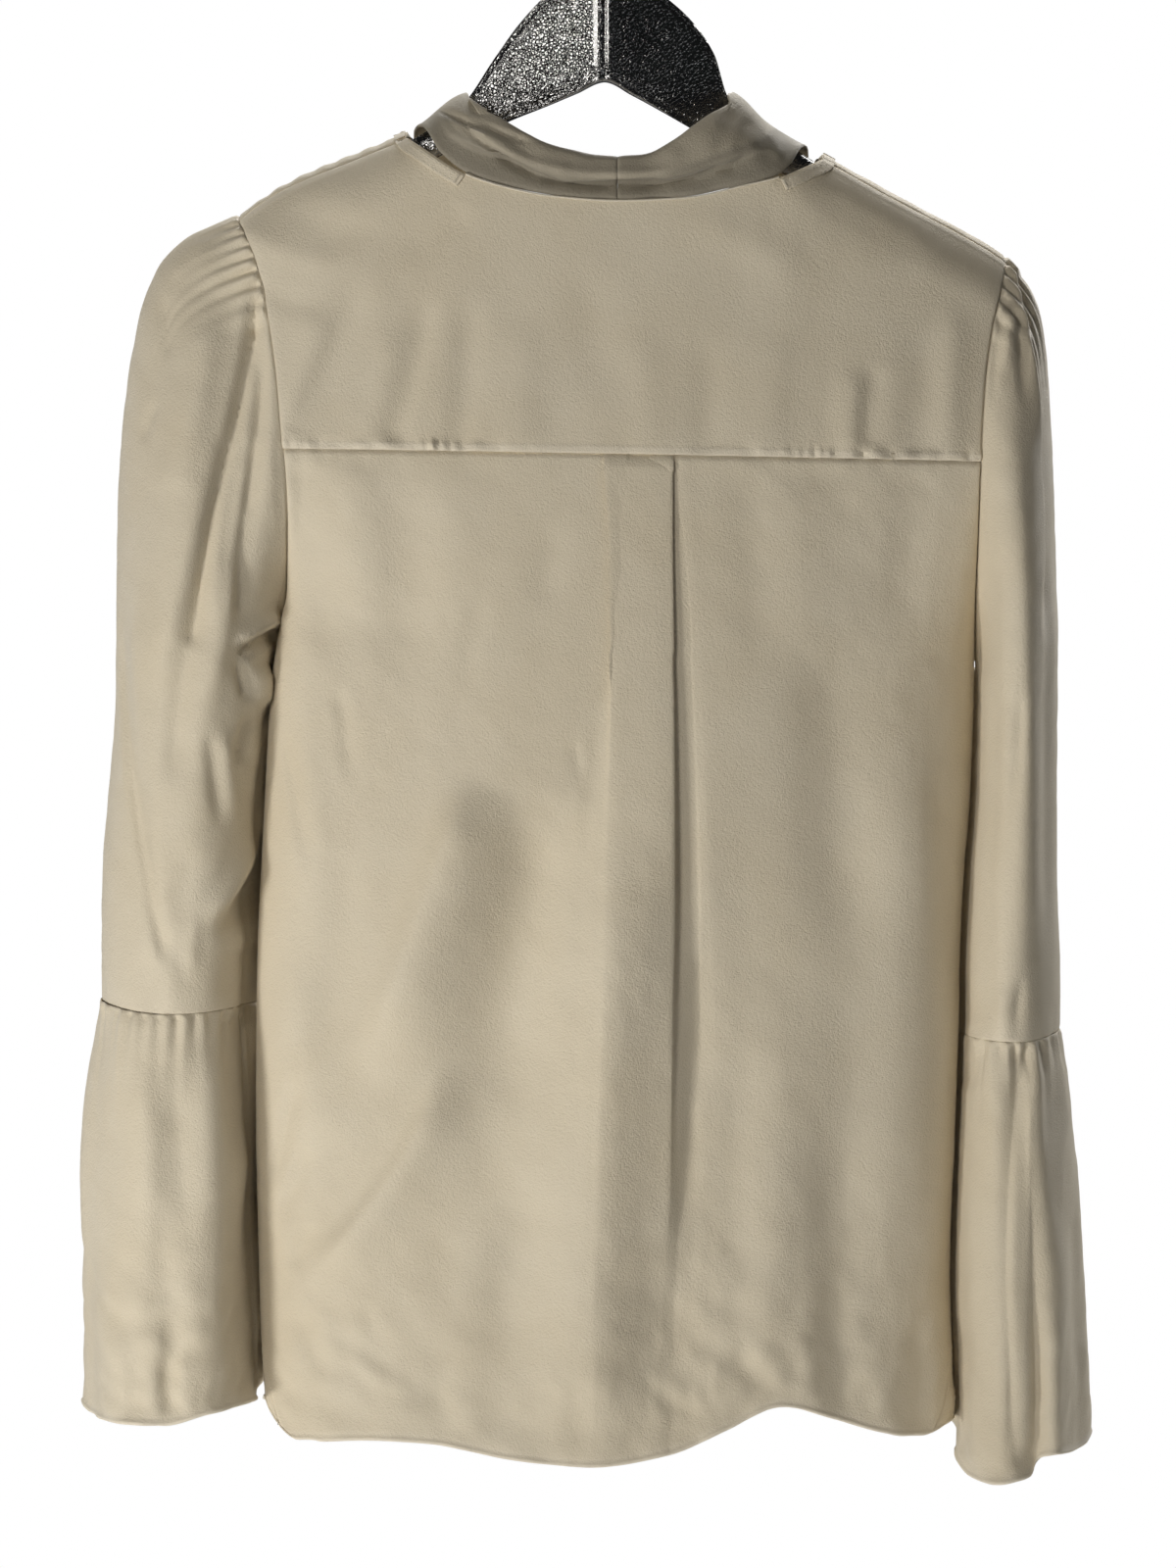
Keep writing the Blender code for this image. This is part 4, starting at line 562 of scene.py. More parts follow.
# The hanger's outline: its upper edge, its lower edge and its half-thickness
ARMS = Table("x top low half", [
    (-184, -217.5, -224, 6), (-180, -211.5, -229, 9.5), (-166, -200.5, -222, 11.5),
    (-123.5, -183, -201, 12), (-101, -174.5, -190.5, 10), (-72, -154.5, -175.5, 9),
    (-55.5, -131, -167, 8.5), (-44, -115, -162, 8), (-30, -100, -156.5, 8),
    (-14, -88.5, -149.8, 8), (0, -86, -144, 8), (14, -88.5, -150.8, 8), (30, -100, -159.5, 8),
    (44, -112.5, -167.5, 8), (56, -130, -174, 8), (63, -151.5, -178, 8), (72, -158, -182, 9),
    (104, -182.5, -197, 10), (144, -202.5, -219, 12), (185, -224, -241, 11.5),
    (199, -231.5, -248, 9.5), (203, -236, -244, 6),
])

# Lines of stitches along the hanger's edges: the edge, how far from it, and where each begins and ends
HANGER_SEAMS = (("top", -3.2, -60, -5), ("top", -3.2, 5, 62), ("low", 3.2, -70, -5), ("low", 3.2, 5, 70))
# The hook's stem, which leans from the middle of the hanger into the hook's bend
STEM = Table("z x", [(-41.5, 9.5), (-48, 3), (-56, 0), (-72, 0), (STEM_FOOT, 0)])
HOOK_TIP = (0.97, 0.9, 0.75, 0.4)    # share of the wire's width over the last of its tip

# The lights: place and aim in metres, width of the disc, power in watts, and colour
Light = namedtuple("Light", "name place aim width power colour")
LIGHTS = [
    Light("key", (-1.5, -1.2, -1.35), (0.02, 0.0, -0.74), 0.4, 19, (1.0, 0.985, 0.95)),
    Light("glare", (-1.82, -3.6, 0.27), (-0.03, 0.0, -0.3), 1.2, 46, (1.0, 0.97, 0.92)),
    Light("fill", (2.2, -2.0, -1.1), (-0.01, 0.0, -0.5), 1.0, 3.2, (0.97, 0.98, 1.0)),
    Light("top", (0.3, 1.5, 1.4), (0.0, 0.4, -1.2), 1.6, 62, (1.0, 0.99, 0.97)),
    Light("front_key", (2.1, 2.5, 0.6), (-0.01, 0.0, -0.5), 0.7, 38, (1.0, 0.98, 0.95)),
    Light("front_fill", (-2.4, 2.4, -0.2), (-0.01, 0.0, -0.5), 1.6, 14, (0.96, 0.98, 1.0)),
]


def mix(a, b, t):
    return a + (b - a) * t


def ease(t):
    t = np.clip(t, 0.0, 1.0)
    return t * t * (3 - 2 * t)


def graded(count, pull=0.75):
    """Places from 0 to 1, closer together towards both ends."""
    t = np.linspace(0, 1, count)
    return t - pull * np.sin(2 * np.pi * t) / (2 * np.pi)


def bowed(x, y, z):
    """Points on a straight hanger, moved onto the bowed one."""
    x, y, z = np.broadcast_arrays(x, y, z)
    return np.stack([x, y + BOW * (x / BOW_SPAN) ** 2, z], axis=-1)


def crest(x):
    return CREST.at("z", x)


def rounding(drop):
    """0 on the crest, 1 where the cloth hangs plumb."""
    return np.sqrt(np.clip(1 - (1 - np.clip(drop, 0, CREST_ROUND) / CREST_ROUND) ** 2, 0, 1))


def level(station, side):
    return np.interp(station, LEVELS.sorted[:, 0], LEVELS.sorted[:, LEVELS.names.index(side)])


def edge_depth(z, underarm):
    """Half-depth of an armhole seam: it narrows to nothing at the underarm."""
    narrowing = np.clip((YOKE_EDGE_Z - z) / (YOKE_EDGE_Z - underarm), 0, 1)
    return np.where(z <= underarm, 0.0, DEPTHS.at("edge", z) * (1 - ease(narrowing)) ** 0.75)


def body(side, x, z, s, lift=0.0):
    """Points on the body: side -1 back, 1 front; s from -1 at the left edge to 1 at the right."""
    side, x, z, s, lift = np.broadcast_arrays(side, x, z, s, lift)
    edge = edge_depth(z, np.where(s < 0, level(2, "left"), level(2, "right")))
    middle = np.where(side < 0, DEPTHS.at("back", z), DEPTHS.at("front", z))
    depth = edge + (middle - edge) * np.clip(1 - s * s, 0, 1) ** 0.375 + lift
    over = rounding(crest(x) - z)
    return bowed(x, side * depth * over, z + lift * np.sqrt(1 - over ** 2))


def across(x, z):
    """Where points at X and Z lie across the body, from -1 to 1."""
    left, right = LEFT_SIDE.at("x", z), RIGHT_SIDE.at("x", z)
    return 2 * (x - left) / (right - left) - 1


def shoulder_x(s):
    """X of the shoulder seams at places across the body from -1 to 1."""
    left = LEFT_SIDE.at("x", level(0, "left"))
    right = RIGHT_SIDE.at("x", level(0, "right"))
    return mix(left, right, (s + 1) / 2)


def shoulder_s(x):
    return 2 * (x - shoulder_x(-1)) / (shoulder_x(1) - shoulder_x(-1)) - 1


def body_net(station, s, neck, hem):
    """X and Z of a net over the body: stations from 0 to 3 down it, s from -1 to 1 across it."""
    station, s = np.broadcast_arrays(station, s)
    share = (s + 1) / 2
    left_z, right_z = level(station, "left"), level(station, "right")
    x = mix(LEFT_SIDE.at("x", left_z), RIGHT_SIDE.at("x", right_z), share)
    z = mix(left_z, right_z, share)
    if neck is not None:
        top_x = shoulder_x(s)
        inside = (top_x > NECK_LEFT + 0.01) & (top_x < NECK_RIGHT - 0.01)
        upper = np.where(inside, neck.at("z", top_x), crest(top_x) - SEAM_DROP)
        yoke = mix(level(1, "left"), level(1, "right"), share)
        z = np.where(station < 1, mix(upper, yoke, station), z)
    under = mix(level(2, "left"), level(2, "right"), share)
    skirt = mix(under, hem.at("z", mix(HEM_LEFT_X, HEM_RIGHT_X, share)), station - 2)
    low = mix(LEFT_SIDE.at("x", skirt), RIGHT_SIDE.at("x", skirt), share)
    return np.where(station > 2, low, x), np.where(station > 2, skirt, z)


def swung(side, x, z, s, hem):
    """The body's points, with the side seams carried behind the sides near the hem."""
    shift = np.where(s < 0, -SEAM_SWING.at("left", z), SEAM_SWING.at("right", z))
    near = ease((np.abs(s) - 0.75) / 0.25)
    plain = hem.at("z", mix(HEM_LEFT_X, HEM_RIGHT_X, (s + 1) / 2))
    s = s + side * shift * near
    beyond = np.abs(s) > 1
    s = np.where(beyond, np.sign(s) * 2 - s, s)
    side = np.where(beyond, -side, side)
    behind = BACK_HEM.at("z", mix(HEM_LEFT_X, HEM_RIGHT_X, (s + 1) / 2))
    close = ease((z - plain + 70) / 70) * near * (side < 0)
    z = z + (behind - plain) * close * (z < -700)
    left, right = LEFT_SIDE.at("x", z), RIGHT_SIDE.at("x", z)
    moved = mix(left, right, (s + 1) / 2)
    return side, np.where(near > 0, moved, x), z, s


def net_normals(points, closed=False):
    """Unit normals of a net, along its columns crossed with down its rows."""
    if closed:
        wide = np.roll(points, -1, 1) - np.roll(points, 1, 1)
    else:
        wide = np.gradient(points, axis=1)
    normals = np.cross(wide, np.gradient(points, axis=0))
    return normals / np.maximum(np.linalg.norm(normals, axis=-1, keepdims=True), 1e-9)


def run(points, axis):
    """Length along a net from its first row or column."""
    steps = np.linalg.norm(np.diff(points, axis=axis), axis=-1)
    start = np.zeros_like(np.take(steps, [0], axis=axis))
    return np.concatenate([start, np.cumsum(steps, axis=axis)], axis=axis)


def from_end(lengths, axis):
    return np.take(lengths, [-1], axis=axis) - lengths


def curled(distance, depth=0.5, reach=0.8):
    """How far an edge turns in towards its seam, by the distance from it."""
    return -depth * np.exp(-((distance / reach) ** 2))


def crease_out(x, z, creases):
    """How far the creases push the cloth out at places X and Z."""
    out = np.zeros_like(x)
    t = np.linspace(0, 1, CREASE_STEPS + 1)
    for crease in creases:
        bend_x = 2 * crease.x1 - (crease.x0 + crease.x2) / 2
        bend_z = 2 * crease.z1 - (crease.z0 + crease.z2) / 2
        line_x = (1 - t) ** 2 * crease.x0 + 2 * t * (1 - t) * bend_x + t * t * crease.x2
        line_z = (1 - t) ** 2 * crease.z0 + 2 * t * (1 - t) * bend_z + t * t * crease.z2
        reach = 5 * crease.width
        near = (x > line_x.min() - reach) & (x < line_x.max() + reach)
        near &= (z > line_z.min() - reach) & (z < line_z.max() + reach)
        if not near.any():
            continue
        at_x, at_z = x[near], z[near]
        best = np.full(at_x.shape, 1e9)
        right = np.zeros(at_x.shape)
        along = np.zeros(at_x.shape)
        for i in range(CREASE_STEPS):
            way_x, way_z = line_x[i + 1] - line_x[i], line_z[i + 1] - line_z[i]
            h = ((at_x - line_x[i]) * way_x + (at_z - line_z[i]) * way_z) / (way_x ** 2 + way_z ** 2)
            h = np.clip(h, 0, 1)
            off_x, off_z = at_x - line_x[i] - h * way_x, at_z - line_z[i] - h * way_z
            distance = np.hypot(off_x, off_z)
            closer = distance < best
            best = np.where(closer, distance, best)
            right = np.where(closer, np.sign(off_z * way_x - off_x * way_z), right)
            along = np.where(closer, (i + h) / CREASE_STEPS, along)
        fade = 1.0
        for i, j, kept, gone in ((0, 1, crease.start, along), (-1, -2, crease.end, 1 - along)):
            way_x, way_z = line_x[j] - line_x[i], line_z[j] - line_z[i]
            inside = ((at_x - line_x[i]) * way_x + (at_z - line_z[i]) * way_z) / math.hypot(way_x, way_z)
            fade = fade * ease(0.5 + inside / crease.width / 1.2 if kept else gone / FADE)
        q = (best / (crease.width * (1 + crease.lean * right))) ** 2
        out[near] += crease.out * fade * (1.25 * np.exp(-q) - 0.25 * np.exp(-q / 5))
    return out


def crumple(points, seed, size, amount, upright=0.5):
    """Small uneven waves of a given size, more upright than level where upright is below 1."""
    dice = np.random.default_rng(seed)
    out = np.zeros(points.shape[:-1])
    for _ in range(RUFFLES):
        length = size * (1 + 1.8 * dice.random())
        turn = dice.random() * np.pi
        way = np.array([math.cos(turn), 0.7 * math.cos(turn + 1.0), upright * math.sin(turn)])
        phase = dice.random() * 2 * np.pi
        out += np.sin(points @ way * (2 * np.pi / length) + phase)
    patches = np.sin(points @ np.array([0.021, 0.013, 0.017]) + seed) * 0.35 + 0.8
    return out * amount / math.sqrt(RUFFLES / 2) * patches


def wave_out(waves, angle, f):
    """How far the folds round a tube stand out, at angles round it and parts of its length."""
    out = 0.0
    for wave in waves:
        apart = (angle - wave.angle + 180) % 360 - 180
        out = out + mix(wave.top, wave.low, ease(f)) * np.exp(-((apart / wave.spread) ** 2))
    return out


def gathers_out(gathers, angle, drop):
    """How far gathers push the cloth out, at angles round a seam and lengths below it."""
    out = 0.0
    for gather in gathers:
        apart = (angle - gather.angle + 180) % 360 - 180
        rise = ease(drop / 2.0) * np.exp(-drop / gather.length)
        out = out + gather.out * np.exp(-((apart / gather.width) ** 2)) * rise
    return out


def new_group(name, inputs, outputs):
    """An empty shader node group with named sockets."""
    group = bpy.data.node_groups.new(name, "ShaderNodeTree")
    for socket, kind, value in inputs:
        made = group.interface.new_socket(name=socket, in_out="INPUT", socket_type=kind)
        made.default_value = value
    for socket, kind in outputs:
        group.interface.new_socket(name=socket, in_out="OUTPUT", socket_type=kind)
    return group, group.nodes.new("NodeGroupInput"), group.nodes.new("NodeGroupOutput")


def new_material(name):
    """A material with its node tree and its shader."""
    made = bpy.data.materials.new(name)
    made.use_nodes = True
    return made, made.node_tree, made.node_tree.nodes["Principled BSDF"]


def object_place(tree):
    """The place on the piece, which every pattern reads."""
    return tree.nodes.new("ShaderNodeTexCoord").outputs["Object"]


def set_values(node, values):
    for name, value in values.items():
        node.inputs[name].default_value = value


def raise_surface(tree, shader, height, depth, strength):
    """Roughen a shader's surface with a pattern of heights up to a depth in metres."""
    bump = tree.nodes.new("ShaderNodeBump")
    set_values(bump, {"Strength": strength, "Distance": depth})
    tree.links.new(height, bump.inputs["Height"])
    tree.links.new(bump.outputs["Normal"], shader.inputs["Normal"])


def noise(tree, vector, scale, detail, roughness=0.5):
    node = tree.nodes.new("ShaderNodeTexNoise")
    set_values(node, {"Scale": scale, "Detail": detail, "Roughness": roughness})
    tree.links.new(vector, node.inputs["Vector"])
    return node.outputs["Fac"]


def math_node(tree, operation, first, second):
    node = tree.nodes.new("ShaderNodeMath")
    node.operation = operation
    for socket, value in zip(node.inputs, (first, second)):
        if isinstance(value, (int, float)):
            socket.default_value = value
        else:
            tree.links.new(value, socket)
    return node.outputs[0]


def ramp(tree, value, low, high, to_low, to_high):
    node = tree.nodes.new("ShaderNodeMapRange")
    set_values(node, {"From Min": low, "From Max": high, "To Min": to_low, "To Max": to_high})
    tree.links.new(value, node.inputs["Value"])
    return node.outputs["Result"]


def mix_colour(tree, factor, first, second):
    node = tree.nodes.new("ShaderNodeMix")
    node.data_type = "RGBA"
    for socket, value in ((node.inputs[0], factor), (node.inputs[6], first), (node.inputs[7], second)):
        if isinstance(value, (int, float, tuple)):
            socket.default_value = value
        else:
            tree.links.new(value, socket)
    return node.outputs[2]


def crepe_group():
    """Crepe: a pebbly crinkled grain, faint clouding, other tones at seams and hems, and painted shade at the
    neck.
    """
    found = bpy.data.node_groups.get("Silk crepe")
    if found:
        return found
    colour, number, white = "NodeSocketColor", "NodeSocketFloat", (1, 1, 1, 1)
    group, start, end = new_group(
        "Silk crepe",
        [(name, colour, white) for name in ("Cloth", "Clouding", "Doubled", "Worn")]
        + [(name, number, 0.0) for name in ("Seam", "Hem", "Neck")],
        [("Colour", colour), ("Roughness", number), ("Height", number)],
    )
    given = start.outputs
    place = object_place(group)
    pebble = noise(group, place, 1500, 2.0, 0.6)
    crinkle = noise(group, place, 760, 3.0, 0.6)
    cloud = noise(group, place, 16, 4.0, 0.6)
    slub = noise(group, place, 90, 2.0, 0.5)
    clouded = ramp(group, cloud, 0.35, 0.7, 0.0, 1.0)
    tone = mix_colour(group, clouded, given["Cloth"], given["Clouding"])
    tone = mix_colour(group, ramp(group, crinkle, 0.35, 0.65, 0.16, 0.0), tone, given["Clouding"])
    tone = mix_colour(group, math_node(group, "MULTIPLY", given["Seam"], 0.75), tone, given["Doubled"])
    tone = mix_colour(group, given["Hem"], tone, given["Doubled"])
    # painted shade: the neck mask darkens the cloth towards the shaded colour, standing in for the shade on
    # the collar
    tone = mix_colour(group, given["Neck"], tone, given["Worn"])
    group.links.new(tone, end.inputs["Colour"])
    group.links.new(ramp(group, slub, 0.3, 0.7, 0.52, 0.66), end.inputs["Roughness"])
    fine, coarse = math_node(group, "MULTIPLY", pebble, 0.6), math_node(group, "MULTIPLY", crinkle, 0.8)
    group.links.new(math_node(group, "ADD", fine, coarse), end.inputs["Height"])
    return group


def silk_material(name):
    """Matte silk crepe with a soft sheen, with painted shade darkening it at the neck."""
    look = bpy.context.scene.blouse_cloth
    made, tree, shader = new_material(name)
    crepe = tree.nodes.new("ShaderNodeGroup")
    crepe.node_tree = crepe_group()
    cloth = np.array(look.silk_colour)
    # the neck's shaded colour, 0.42 of the cloth, is painted shade
    set_values(crepe, {
        "Cloth": (*cloth, 1), "Clouding": (*(cloth * (0.955, 0.94, 0.91)), 1),
        "Doubled": (*look.doubled_colour, 1), "Worn": (*(cloth * 0.42), 1),
    })
    for socket, attribute in (("Seam", "seam_allowance"), ("Hem", "rolled_hem"), ("Neck", "worn_neck")):
        node = tree.nodes.new("ShaderNodeAttribute")
        node.attribute_name = attribute
        tree.links.new(node.outputs["Fac"], crepe.inputs[socket])
    tree.links.new(crepe.outputs["Colour"], shader.inputs["Base Color"])
    tree.links.new(crepe.outputs["Roughness"], shader.inputs["Roughness"])
    raise_surface(tree, shader, crepe.outputs["Height"], look.grain_depth, 1.0)
    set_values(shader, {
        "Sheen Weight": look.sheen, "Sheen Roughness": 0.45, "Sheen Tint": (1.0, 0.97, 0.9, 1),
        "Specular IOR Level": 0.35, "Subsurface Weight": look.translucency,
        "Subsurface Radius": (1.0, 0.8, 0.5), "Subsurface Scale": 0.004,
    })
    return made


def thread_material(name, colour, roughness):
    """Twisted sewing thread."""
    made, tree, shader = new_material(name)
    twist = noise(tree, object_place(tree), 2600, 2.0)
    darker = (*(np.array(colour) * 0.8), 1)
    tone = mix_colour(tree, ramp(tree, twist, 0.35, 0.65, 0.0, 1.0), darker, (*colour, 1))
    tree.links.new(tone, shader.inputs["Base Color"])
    raise_surface(tree, shader, twist, 0.00008, 0.5)
    set_values(shader, {"Roughness": roughness})
    return made


def leather_material(name):
    """Glossy black leather with a pressed grain, drawn a little outwards from its middle seam."""
    look = bpy.context.scene.blouse_hanger
    made, tree, shader = new_material(name)
    place = object_place(tree)
    cells = tree.nodes.new("ShaderNodeTexVoronoi")
    cells.feature = "DISTANCE_TO_EDGE"
    cells.inputs["Scale"].default_value = 620
    tree.links.new(place, cells.inputs["Vector"])
    grain = ramp(tree, cells.outputs["Distance"], 0.0, 0.22, 0.0, 1.0)
    folds = noise(tree, place, 430, 3.0, 0.6)
    parts = tree.nodes.new("ShaderNodeSeparateXYZ")
    tree.links.new(place, parts.inputs[0])
    outwards = math_node(tree, "ABSOLUTE", parts.outputs["X"], 0.0)
    height = math_node(
        tree, "ADD", math_node(tree, "MULTIPLY", grain, 0.16), math_node(tree, "MULTIPLY", folds, 0.52))
    slope = math_node(tree, "MULTIPLY", outwards, -0.14 / look.grain_depth)
    raise_surface(tree, shader, math_node(tree, "ADD", height, slope), look.grain_depth, 1.0)
    dark = np.array(look.leather_colour)
    rubbed = ramp(tree, noise(tree, place, 45, 3.0), 0.4, 0.75, 0.0, 1.0)
    tree.links.new(mix_colour(tree, rubbed, (*dark, 1), (*(dark * 2.2), 1)), shader.inputs["Base Color"])
    tree.links.new(ramp(tree, folds, 0.3, 0.7, 0.06, 0.16), shader.inputs["Roughness"])
    set_values(shader, {
        "Specular IOR Level": 1.0, "IOR": 1.9, "Coat Weight": 0.7, "Coat IOR": 1.8,
        "Coat Roughness": 0.12,
    })
    return made


def wire_material(name):
    """Polished steel wire with faint drawing marks."""
    made, tree, shader = new_material(name)
    place = object_place(tree)
    marks = noise(tree, place, 900, 3.0)
    smudged = ramp(tree, noise(tree, place, 60, 3.0), 0.35, 0.7, 0.0, 1.0)
    tone = mix_colour(tree, smudged, (0.62, 0.62, 0.63, 1), (0.5, 0.5, 0.51, 1))
    tree.links.new(tone, shader.inputs["Base Color"])
    tree.links.new(ramp(tree, marks, 0.3, 0.7, 0.16, 0.3), shader.inputs["Roughness"])
    raise_surface(tree, shader, marks, 0.00005, 0.25)
    set_values(shader, {"Metallic": 1.0})
    return made


def net_mesh(points, closed=False):
    """A bmesh grid laid through a net of points given in millimetres."""
    rows, wide = points.shape[:2]
    if closed:
        points = np.concatenate([points, points[:, :1]], axis=1)
        wide += 1
    mesh = bmesh.new()
    bmesh.ops.create_grid(mesh, x_segments=wide - 1, y_segments=rows - 1, size=1)
    for vertex, place in zip(mesh.verts, (points.reshape(-1, 3) * MM).tolist()):
        vertex.co = place
    return mesh, points


def finish_piece(name, mesh, material, node=None):
    """An object from a bmesh, riding on the part's body."""
    data = bpy.data.meshes.new(name)
    mesh.to_mesh(data)
    mesh.free()
    data.shade_smooth()
    data.set_sharp_from_angle(angle=SMOOTH_ANGLE)
    data.materials.append(material)
    made = bpy.data.objects.new(name, data)
    bpy.context.scene.collection.objects.link(made)
    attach(made, "root")
    if node:
        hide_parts(node)
    return made


def cloth_piece(node, points, marks, rests_on, closed=False, flip=False, thickness=None, held="hung"):
    """A thin shell of cloth whose outer face runs through a net of points."""
    look = bpy.context.scene.blouse_cloth
    mesh, laid = net_mesh(points, closed)
    for name, values in marks.items():
        if closed:
            values = np.concatenate([values, values[:, :1]], axis=1)
        layer = mesh.verts.layers.float.new(name)
        for vertex, value in zip(mesh.verts, values.reshape(-1).tolist()):
            vertex[layer] = value
    if closed:
        bmesh.ops.remove_doubles(mesh, verts=mesh.verts, dist=WELD)
    if flip:
        bmesh.ops.reverse_faces(mesh, faces=mesh.faces)
    made = finish_piece(node + "_cloth", mesh, silk_material(node + "_crepe"), node)
    wall = made.modifiers.new("Cloth", "SOLIDIFY")
    wall.thickness = thickness or look.thickness
    wall.offset = -1


def rolled_hem(points, sign, closed=False):
    """The net with rows added that roll its lower edge into a narrow bead."""
    last = points[-1]
    down = last - points[-2]
    down /= np.linalg.norm(down, axis=-1, keepdims=True)
    out = net_normals(points, closed)[-1] * sign
    centre = last + down * HEM_RADIUS - out * 0.35
    extra = []
    for turn in np.radians(HEM_TURNS):
        extra.append(centre + HEM_RADIUS * (out * math.sin(turn) - down * math.cos(turn)))
    return np.concatenate([points, np.array(extra)])


def hem_marks(points):
    """1 on the rolled hem and on the doubled cloth beside it."""
    left = from_end(run(points[:-HEM_ROWS], 0), 0)
    marks = 0.55 * (1 - ease((left - 0.5) / HEM_WIDTH))
    return np.concatenate([marks, np.ones((HEM_ROWS, points.shape[1]))])


def push_out(points, out, sign, closed=False):
    return points + net_normals(points, closed) * (sign * out)[..., None]


def yoke_points():
    """The back yoke, from the shoulder seams and the back neck to the yoke seam."""
    left, right = shoulder_s(NECK_LEFT), shoulder_s(NECK_RIGHT)
    s = np.concatenate([
        mix(-1, left, graded(38))[:-1], mix(left, right, graded(76, 0.5))[:-1],
        mix(right, 1, graded(38)),
    ])
    station = graded(84, 0.8)[:, None]
    x, z = body_net(station, s[None, :], BACK_NECK, BACK_HEM)
    points = body(-1, x, z, np.broadcast_to(s, x.shape))
    below = from_end(run(points, 0), 0)
    top = run(points, 0)
    left_edge, right_edge = run(points, 1), from_end(run(points, 1), 1)
    x = points[..., 0]
    out = crease_out(x, points[..., 2], YOKE_CREASES)
    out += crumple(points, 3, 26, 0.2) + crumple(points, 4, 9, 0.05)
    fade = ease(top / 12)
    out *= fade
    band = ease((5.0 - below) / 2.2)
    out += 0.3 * band
    pucker = crumple(points, 11, 4.6, 0.62, 0.1) * np.exp(-((below - 2.2) / 3.4) ** 2)
    where = 0.7 + np.exp(-((x + 95) / 45) ** 2) + np.exp(-((x - 150) / 40) ** 2)
    out += pucker * where
    out += curled(below, 0.35, 0.6) + curled(left_edge) + curled(right_edge)
    outside = (s < left) | (s > right)
    out += np.where(outside[None, :], curled(top), 0)
    shoulder_band = np.where(outside[None, :], ease((6.2 - top) / 1.0), 0)
    out += 0.25 * shoulder_band
    points = push_out(points, out, BACK_SIGN)
    arm_band = np.maximum(ease((5.5 - left_edge) / 1.5), ease((5.5 - right_edge) / 1.5)) * 0.25
    marks = np.maximum(np.maximum(band, shoulder_band * 0.8), arm_band)
    return points, {"seam_allowance": marks, "rolled_hem": np.zeros_like(marks)}


def pleat_columns(station, steps=7):
    """X and lift across the pleat, for rows of the back: each a net of rows by columns."""
    middle_z = body_net(station, 0.1, None, BACK_HEM)[1]
    edges, levels = [], []
    for step in PLEAT_STEPS:
        soft = PLEAT.at("soft_left" if step.edge == "left" else "soft_right", middle_z)
        fold = step.tuck * PLEAT.at("fold", middle_z) * (1 - soft)
        edges.append(PLEAT.at(step.edge, middle_z) + mix(step.offset, step.soft, soft) + fold)
        levels.append(PLEAT.at("rise", middle_z) * step.level)
    count = len(PLEAT_STEPS)
    places = np.linspace(0, count - 1, (count - 1) * steps + 1)
    nets = []
    for values in (np.array(edges), np.array(levels)):
        rows = []
        for row in values.T:
            rows.append(Table("at value", np.column_stack([np.arange(count), row])).at("value", places))
        nets.append(np.array(rows))
    return nets


def back_points():
    """The back below the yoke, with its centre pleat caught in the yoke seam."""
    tucked = 3.0 / 95.0
    station = np.concatenate([
        [1 - tucked, 1 - 0.6 * tucked, 1 - 0.25 * tucked], mix(1, 2, graded(46, 0.0) ** 1.25)[:-1],
        mix(2, 3, 1 - (1 - np.linspace(0, 1, 126)) ** 1.12),
    ])
    pleat_x, pleat_lift = pleat_columns(station)
    rows, wide = len(station), 66
    st = station[:, None]
    left = body_net(st, -1.0, None, BACK_HEM)[0]
    right = body_net(st, 1.0, None, BACK_HEM)[0]
    pleat_s = 2 * (pleat_x - left) / (right - left) - 1
    t = 1 - np.cos(np.pi / 2 * np.linspace(0, 1, wide))[None, :]
    s = np.concatenate([
        mix(-1.0, pleat_s[:, :1], t)[:, :-1], pleat_s, mix(1.0, pleat_s[:, -1:], t)[:, -2::-1],
    ], axis=1)
    flat = np.zeros((rows, wide - 1))
    lift = np.concatenate([flat, pleat_lift, flat], axis=1)
    x, z = body_net(st, s, None, BACK_HEM)
    side, x, z, s = swung(-1, x, z, s, BACK_HEM)
    below_seam = mix(level(1, "left"), level(1, "right"), (s + 1) / 2) - z
    smooth_back = body(side, x, z, s)
    out = crease_out(smooth_back[..., 0], smooth_back[..., 2], BACK_CREASES) * 1.35
    out += crumple(smooth_back, 5, 34, 0.45, 0.3) + crumple(smooth_back, 6, 9, 0.09, 0.8)
    low = ease((-690 - z) / 130)
    out += (crumple(smooth_back, 7, 15, 0.5, 0.9) + crumple(smooth_back, 8, 7, 0.13, 0.9)) * low
    out *= ease(below_seam / 14)
    left_edge, right_edge = run(smooth_back, 1), from_end(run(smooth_back, 1), 1)
    out *= ease(left_edge / 10) * ease(right_edge / 10)
    out *= 1 - 0.9 * np.exp(-(((x - 38) / 9) ** 2)) * ease((z + 640) / 60)
    out += curled(left_edge) + curled(right_edge)
    gathered = crumple(smooth_back, 12, 6.0, 0.22, 0.1) * np.exp(-((below_seam - 3) / 4) ** 2)
    out += gathered
    points = body(side, x, z, s, lift)
    normals = net_normals(smooth_back)
    points = points + normals * (BACK_SIGN * out)[..., None]
    sunk = 1.6 * (1 - ease(below_seam / 1.8)) + 1.9 * (1 - ease(below_seam / 7.0)) * np.clip(lift / 1.9, 0, 1)
    points[..., 1] += sunk
    points = rolled_hem(points, BACK_SIGN)
    marks = hem_marks(points)
    seam = np.zeros_like(marks)
    seam[:rows] = np.maximum(ease((4.5 - left_edge) / 1.5), ease((4.5 - right_edge) / 1.5)) * 0.3
    return points, {"seam_allowance": seam, "rolled_hem": marks}


